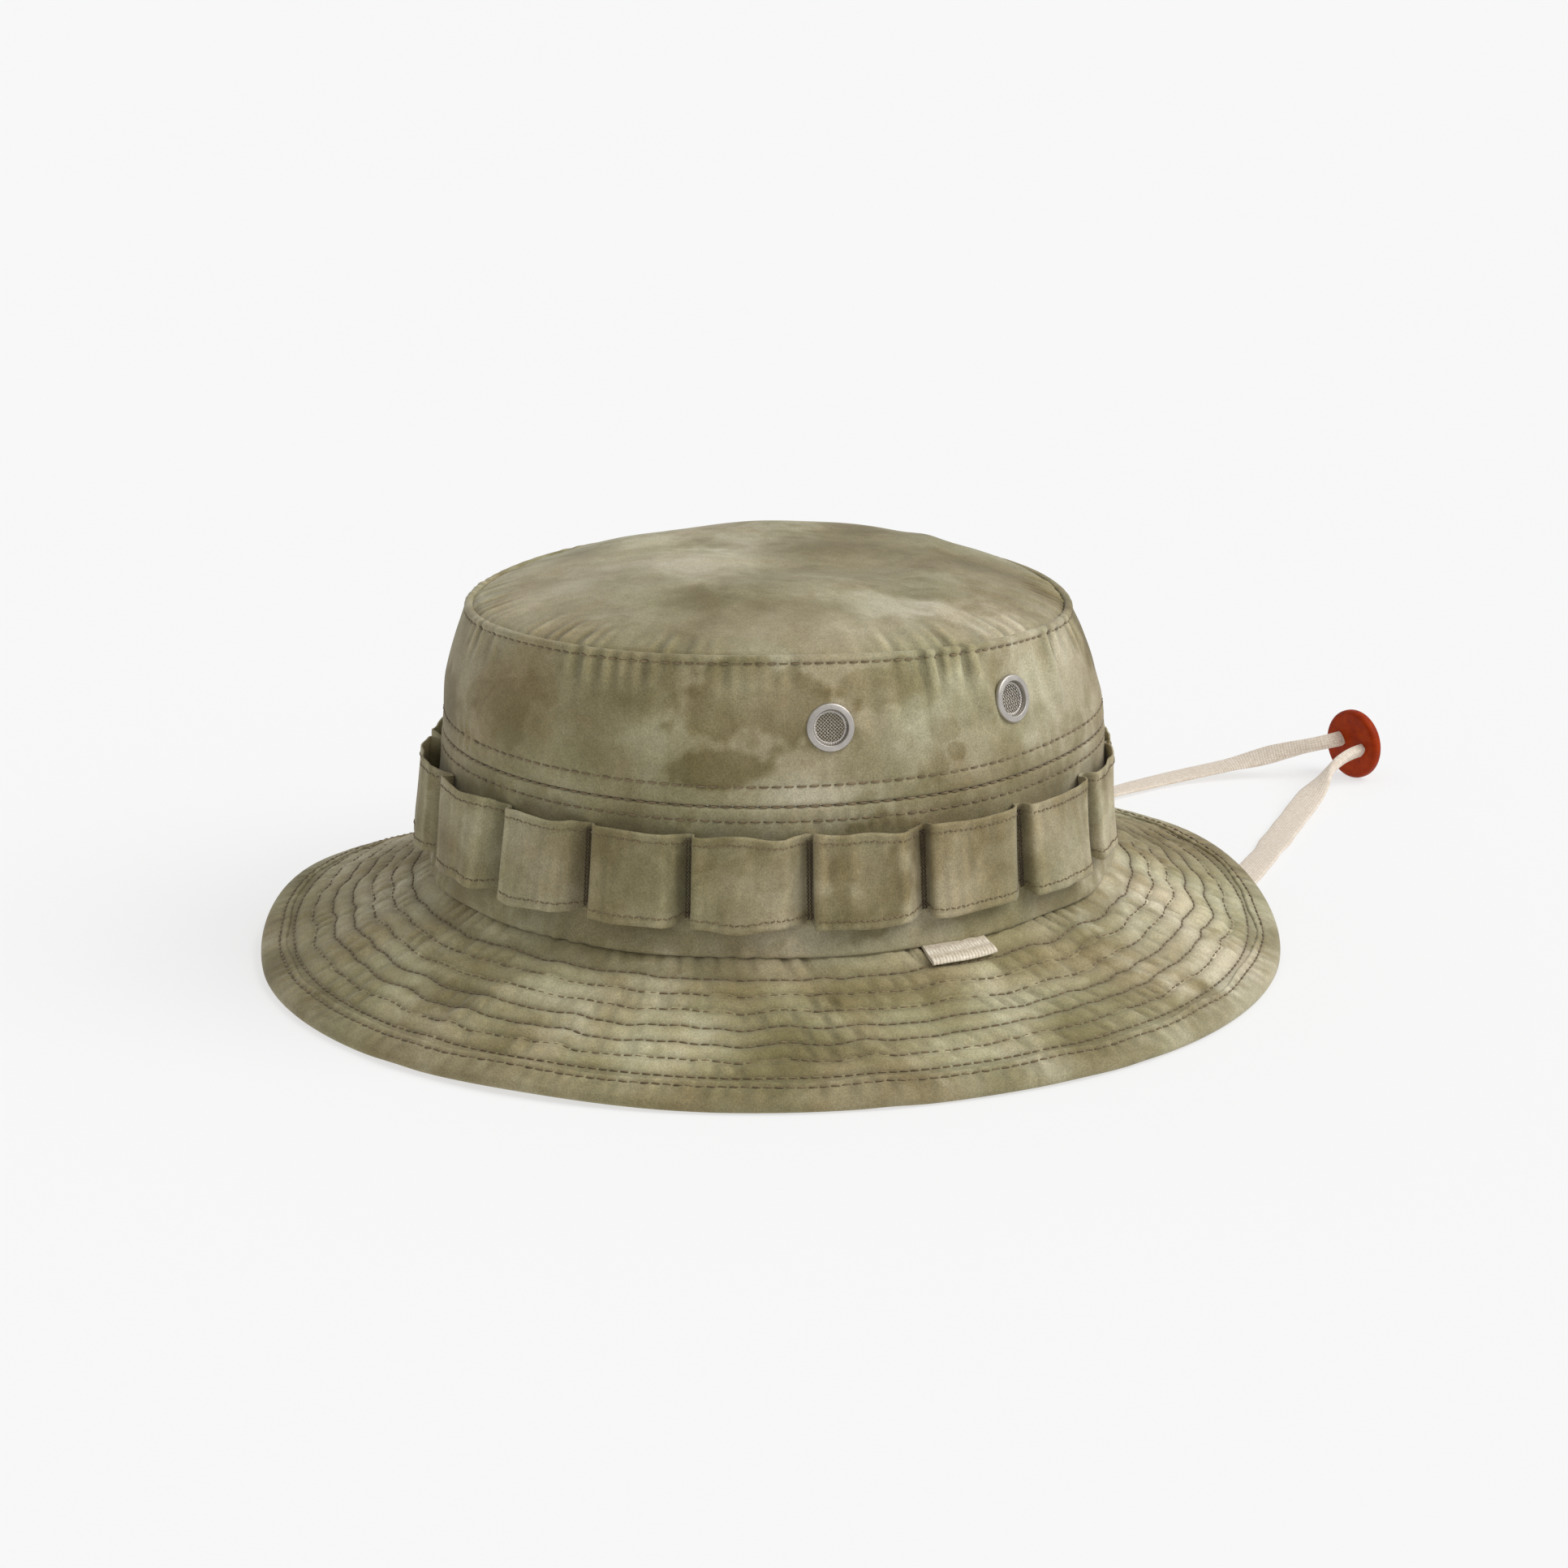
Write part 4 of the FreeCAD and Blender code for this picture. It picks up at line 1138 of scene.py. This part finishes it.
class Nodes:
    """A material's node tree, with short calls to add and join nodes."""

    def __init__(self, name, **sockets):
        self.material = bpy.data.materials.new(name)
        self.material.use_nodes = True
        self.tree = self.material.node_tree
        self.shader = self.tree.nodes["Principled BSDF"]
        for socket, value in sockets.items():
            self.shader.inputs[socket.replace("_", " ")].default_value = value

    def add(self, kind, settings=None, **inputs):
        node = self.tree.nodes.new("ShaderNode" + kind)
        for key, value in (settings or {}).items():
            setattr(node, key, value)
        for key, value in inputs.items():
            self.feed(node.inputs[key.replace("_", " ")], value)
        return node

    def feed(self, socket, value):
        if hasattr(value, "is_linked"):
            self.tree.links.new(value, socket)
        else:
            socket.default_value = value

    def attribute(self, name, output="Fac"):
        return self.add("Attribute", {"attribute_name": name}).outputs[output]

    def noise(self, vector, scale, detail=3.0, roughness=0.5, distortion=0.0):
        node = self.add("TexNoise", Vector=vector, Scale=scale, Detail=detail, Roughness=roughness,
                        Distortion=distortion)
        return node.outputs["Fac"]

    def wave(self, vector, period, direction):
        node = self.add("TexWave", {"bands_direction": direction}, Vector=vector, Scale=TURN / 20 / period)
        return node.outputs["Fac"]

    def math(self, operation, a, b):
        node = self.add("Math", {"operation": operation})
        self.feed(node.inputs[0], a)
        self.feed(node.inputs[1], b)
        return node.outputs[0]

    def span(self, value, low, high, to_low, to_high):
        node = self.add("MapRange", Value=value, From_Min=low, From_Max=high, To_Min=to_low, To_Max=to_high)
        return node.outputs["Result"]

    def spread(self, noise, low, high):
        """The middle of a noise's range, stretched to run from low to high."""
        return self.span(noise, 0.3, 0.7, low, high)

    def ramp(self, value, stops):
        node = self.add("ValToRGB", Fac=value)
        elements = node.color_ramp.elements
        while len(elements) < len(stops):
            elements.new(0.5)
        for element, (at, tint) in zip(elements, stops):
            element.position = at
            element.color = tint
        return node.outputs["Color"]

    def shade(self, tint, amount):
        """A colour made lighter or darker by a factor."""
        node = self.add("VectorMath", {"operation": "SCALE"})
        self.feed(node.inputs[0], tint)
        self.feed(node.inputs["Scale"], amount)
        return node.outputs[0]

    def tinted(self, tint, amount, filter_colour):
        """A colour seen through a filter, as far as an amount from 0 to 1."""
        node = self.add("Mix", {"data_type": "RGBA", "blend_type": "MULTIPLY"}, Factor=amount)
        self.feed(node.inputs["A"], tint)
        self.feed(node.inputs["B"], filter_colour)
        return node.outputs["Result"]

    def bump(self, height, distance, strength=1.0, normal=None):
        node = self.add("Bump", Height=height, Distance=distance, Strength=strength)
        if normal is not None:
            self.tree.links.new(normal, node.inputs["Normal"])
        return node.outputs["Normal"]

    def finish(self, tint, normal=None, roughness=None):
        self.feed(self.shader.inputs["Base Color"], tint)
        if normal is not None:
            self.tree.links.new(normal, self.shader.inputs["Normal"])
        if roughness is not None:
            self.tree.links.new(roughness, self.shader.inputs["Roughness"])
        return self.material


def object_space(n):
    """Place of a point on its own piece, for a pattern that stays with it."""
    return n.add("TexCoord").outputs["Object"]


PRINT = [(0.10, (106, 94, 60)), (0.32, (130, 118, 84)), (0.48, (152, 141, 109)),
         (0.62, (172, 162, 133)), (0.80, (196, 187, 161))]     # tone, from dark to light, and colour


def hat_cloth():
    """Washed cotton poplin, printed in soft water-stained greens and browns, with painted shade in its
    creases and painted light on its ridges.
    """
    n = Nodes("hat_cloth", Roughness=0.86, Sheen_Weight=0.18, Sheen_Roughness=0.45, Specular_IOR_Level=0.25)
    space = object_space(n)
    wash = n.noise(space, 55.0, 4.0, 0.6, 0.8)
    stain = n.noise(space, 150.0, 5.0, 0.65)
    tone = n.math("ADD", n.attribute("tone"), n.spread(wash, -0.09, 0.09))
    tone = n.math("ADD", tone, n.spread(stain, -0.045, 0.045))
    tint = n.ramp(tone, [(at, colour(*shade)) for at, shade in PRINT])
    green, warm = n.noise(space, 26.0, 3.0), n.noise(space, 34.0, 3.0, 0.6, 0.5)
    tint = n.tinted(tint, n.span(green, 0.42, 0.62, 0.0, 1.0), colour(247, 253, 247))
    tint = n.tinted(tint, n.span(warm, 0.45, 0.62, 0.0, 1.0), colour(255, 250, 244))
    fleck = n.noise(space, 2000.0, 2.0, 0.8)
    slub = n.noise(space, 420.0, 3.0, 0.7)
    grain = n.math("MULTIPLY", n.spread(fleck, 0.76, 1.24), n.spread(slub, 0.94, 1.06))
    # Painted shade and light from the cloth's relief: darker in creases, valleys and recesses, lighter on
    # ridges and fold edges.
    burnish_and_relief_shade = n.span(n.attribute("relief_shade"), -0.2, 1.2, 0.68, 1.13)
    tint = n.shade(tint, n.math("MULTIPLY", grain, burnish_and_relief_shade))
    weave = n.attribute("weave", "Vector")
    warp = n.wave(weave, 0.42 * MM, "X")
    weft = n.wave(weave, 0.50 * MM, "Y")
    threads = n.math("MAXIMUM", warp, weft)
    rough = n.bump(slub, 0.10 * MM, 0.8)
    return n.finish(tint, n.bump(threads, 0.035 * MM, 0.7, rough))


def thread(name, dark, light):
    """Twisted thread, its colour uneven along the row."""
    n = Nodes(name, Roughness=0.7, Sheen_Weight=0.2)
    space = object_space(n)
    tint = n.ramp(n.noise(space, 260.0, 3.0), [(0.35, colour(*dark)), (0.65, colour(*light))])
    # Painted shade where the thread dives into its needle holes.
    tint = n.shade(tint, n.span(n.attribute("hole"), 0.0, 1.0, 1.0, 0.3))
    return n.finish(tint, n.bump(n.noise(space, 4500.0, 1.0), 0.05 * MM))


def woven_tape(name, dark, light, warp, weft, depth):
    """Woven tape with its own warp and weft."""
    n = Nodes(name, Roughness=0.88, Sheen_Weight=0.25, Sheen_Roughness=0.5, Specular_IOR_Level=0.2)
    weave = n.attribute("weave", "Vector")
    rows = n.math("MULTIPLY", n.wave(weave, warp, "X"), n.wave(weave, weft, "Y"))
    fuzz = n.noise(object_space(n), 900.0, 4.0, 0.7)
    shade = n.math("ADD", n.span(rows, 0.0, 1.0, 0.0, 0.45), n.spread(fuzz, 0.0, 0.55))
    tint = n.ramp(shade, [(0.0, colour(*dark)), (0.9, colour(*light))])
    return n.finish(tint, n.bump(rows, depth, 0.8, n.bump(fuzz, depth, 0.6)))


def plain_cloth(name, dark, light):
    """Cloth inside the hat, with a weave that follows the object."""
    n = Nodes(name, Roughness=0.92, Specular_IOR_Level=0.15)
    space = object_space(n)
    fuzz = n.noise(space, 700.0, 4.0, 0.7)
    tint = n.ramp(fuzz, [(0.3, colour(*dark)), (0.7, colour(*light))])
    return n.finish(tint, n.bump(n.noise(space, 2200.0, 2.0), 0.08 * MM))


def metal(name, tint, roughness, scratch):
    """Nickel-plated brass, lightly brushed and scuffed."""
    n = Nodes(name, Metallic=1.0)
    space = object_space(n)
    scuff = n.noise(space, scratch, 5.0, 0.7)
    shade = n.spread(n.noise(space, 320.0, 3.0), 0.88, 1.06)
    rough = n.spread(scuff, roughness - 0.08, roughness + 0.12)
    return n.finish(n.shade(colour(*tint)[:3], shade), n.bump(scuff, 0.02 * MM, 0.5), rough)


def leather():
    """Vegetable-tanned leather: close grain, mottled dye, edges burnished darker."""
    n = Nodes("toggle_leather", Specular_IOR_Level=0.12)
    space = object_space(n)
    mottle = n.noise(space, 240.0, 5.0, 0.6, 0.4)
    dyes = [(0.28, colour(138, 38, 0)), (0.5, colour(160, 49, 1)), (0.72, colour(176, 62, 4))]
    tint = n.ramp(mottle, dyes)
    cells = n.add("TexVoronoi", {"feature": "DISTANCE_TO_EDGE"}, Vector=space, Scale=2300.0)
    grain = n.span(cells.outputs["Distance"], 0.0, 0.25, 0.0, 1.0)
    edge = n.add("NewGeometry").outputs["Pointiness"]
    burnish_and_relief_shade = n.span(edge, 0.46, 0.56, 1.05, 0.72)
    pores = n.bump(grain, 0.05 * MM, 0.6, n.bump(mottle, 0.2 * MM, 0.4))
    return n.finish(n.shade(tint, burnish_and_relief_shade), pores, n.spread(mottle, 0.38, 0.55))


def floor_material():
    """Pale lit sweep, on which shadows stay faint."""
    n = Nodes("studio_floor", Roughness=0.9, Specular_IOR_Level=0.0, Emission_Strength=FLOOR_GLOW)
    n.shader.inputs["Emission Color"].default_value = (1, 1, 1, 1)
    shade = n.noise(object_space(n), 3.0)
    return n.finish(n.ramp(shade, [(0.0, (0.30, 0.30, 0.30, 1)), (1.0, (0.31, 0.31, 0.31, 1))]))


# ---- Light and floor -------------------------------------------------------------------
KEY_POWER, KEY_SPREAD, WORLD_POWER, FLOOR_GLOW = 1.9, 45.0, 0.56, 0.63
FLOOR = 20                           # half width of the floor, in metres


def make_studio():
    """Big soft key from the camera's right and above, white all round, and a glowing floor."""
    right = Vector((math.cos(math.radians(CAMERA_AZIMUTH)), math.sin(math.radians(CAMERA_AZIMUTH)), 0))
    toward = Vector((right.y, -right.x, 0))
    data = bpy.data.lights.new("key", "SUN")
    data.energy, data.angle = KEY_POWER, math.radians(KEY_SPREAD)
    key = add_object("key", data)
    key.location = right * 0.9 + toward * 0.2 + Vector((0, 0, 1.0))
    key.rotation_euler = (-key.location).to_track_quat("-Z", "Y").to_euler()
    world = bpy.data.worlds.new("studio")
    world.use_nodes = True
    background = world.node_tree.nodes["Background"]
    background.inputs["Color"].default_value = (1, 1, 1, 1)
    background.inputs["Strength"].default_value = WORLD_POWER
    bpy.context.scene.world = world
    mesh = bpy.data.meshes.new("floor")
    corners = [(-FLOOR, -FLOOR, 0), (FLOOR, -FLOOR, 0), (FLOOR, FLOOR, 0), (-FLOOR, FLOOR, 0)]
    mesh.from_pydata(corners, [], [(0, 1, 2, 3)])
    floor = add_object("floor", mesh)
    floor.data.materials.append(floor_material())
    bpy.context.scene.view_settings.view_transform = "Standard"


# ---- Build -----------------------------------------------------------------------------
def dress(pieces, material, body="hat"):
    """Give pieces their material and record slot, and a body to ride unless they are blended."""
    for piece in pieces:
        piece.data.materials.clear()
        piece.data.materials.append(material)
        if body:
            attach(piece, body)


def dress_node(node, material):
    """Better material for a CAD node that stays."""
    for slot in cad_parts[node].material_slots:
        slot.material = material


make_camera()
cord, cord_path, cord_length = make_cord()
toggle = make_toggle()
dress([toggle], leather(), "toggle")
cotton = woven_tape("cord_cotton", (206, 189, 168), (248, 238, 225), 0.9 * MM, 0.8 * MM, 0.12 * MM)
dress([cord], cotton, None)
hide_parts("chin_cord")
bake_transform(cord)

cloth = hat_cloth()
brown = thread("brown_thread", (106, 88, 57), (138, 118, 85))
brim_cloths, brim_threads = make_brim()
crown_cloths = make_crown()
pierce(crown_cloths[1])
band, hems = make_band()
dress(brim_cloths + crown_cloths + [band], cloth)
dress(brim_threads + make_crown_threads() + [hems], brown)
dress([make_tacks()], thread("tack_thread", (70, 54, 32), (100, 82, 54)))

nickel = metal("eyelet_metal", (190, 185, 178), 0.45, 1200.0)
wire = metal("eyelet_screen", (206, 200, 192), 0.4, 900.0)
for place, angle in EYELET_ANGLES.items():
    rings, screen = make_eyelet(place, angle)
    dress(rings, nickel)
    dress([screen], wire)
    dress_node("eyelet_washer_" + place, nickel)

label_tape = woven_tape("label_tape", (184, 168, 142), (248, 240, 222), RIB, 4.0 * MM, 0.12 * MM)
dress([make_label()], label_tape)
lining = woven_tape("lining_tape", (118, 108, 78), (158, 148, 114), 0.7 * MM, 0.7 * MM, 0.08 * MM)
sweatband = inner_ring("sweatband_tape", "sweatband", SWEAT_LO, SWEAT_HI, 1.05 * MM, 0.75 * MM, 95)
seam_tape = inner_ring("tip_seam_binding", "tip_seam_tape", TAPE_LO, TAPE_HI, 1.05 * MM, 0.55 * MM, 96)
dress([sweatband, seam_tape], lining)
dress([make_inner_threads()], brown)
dress([make_interlining()], plain_cloth("interlining", (196, 192, 180), (222, 218, 206)))
for node in ("cord_tab_left", "cord_tab_right"):
    dress_node(node, plain_cloth("tab_cloth", (112, 104, 76), (150, 142, 110)))

make_studio()
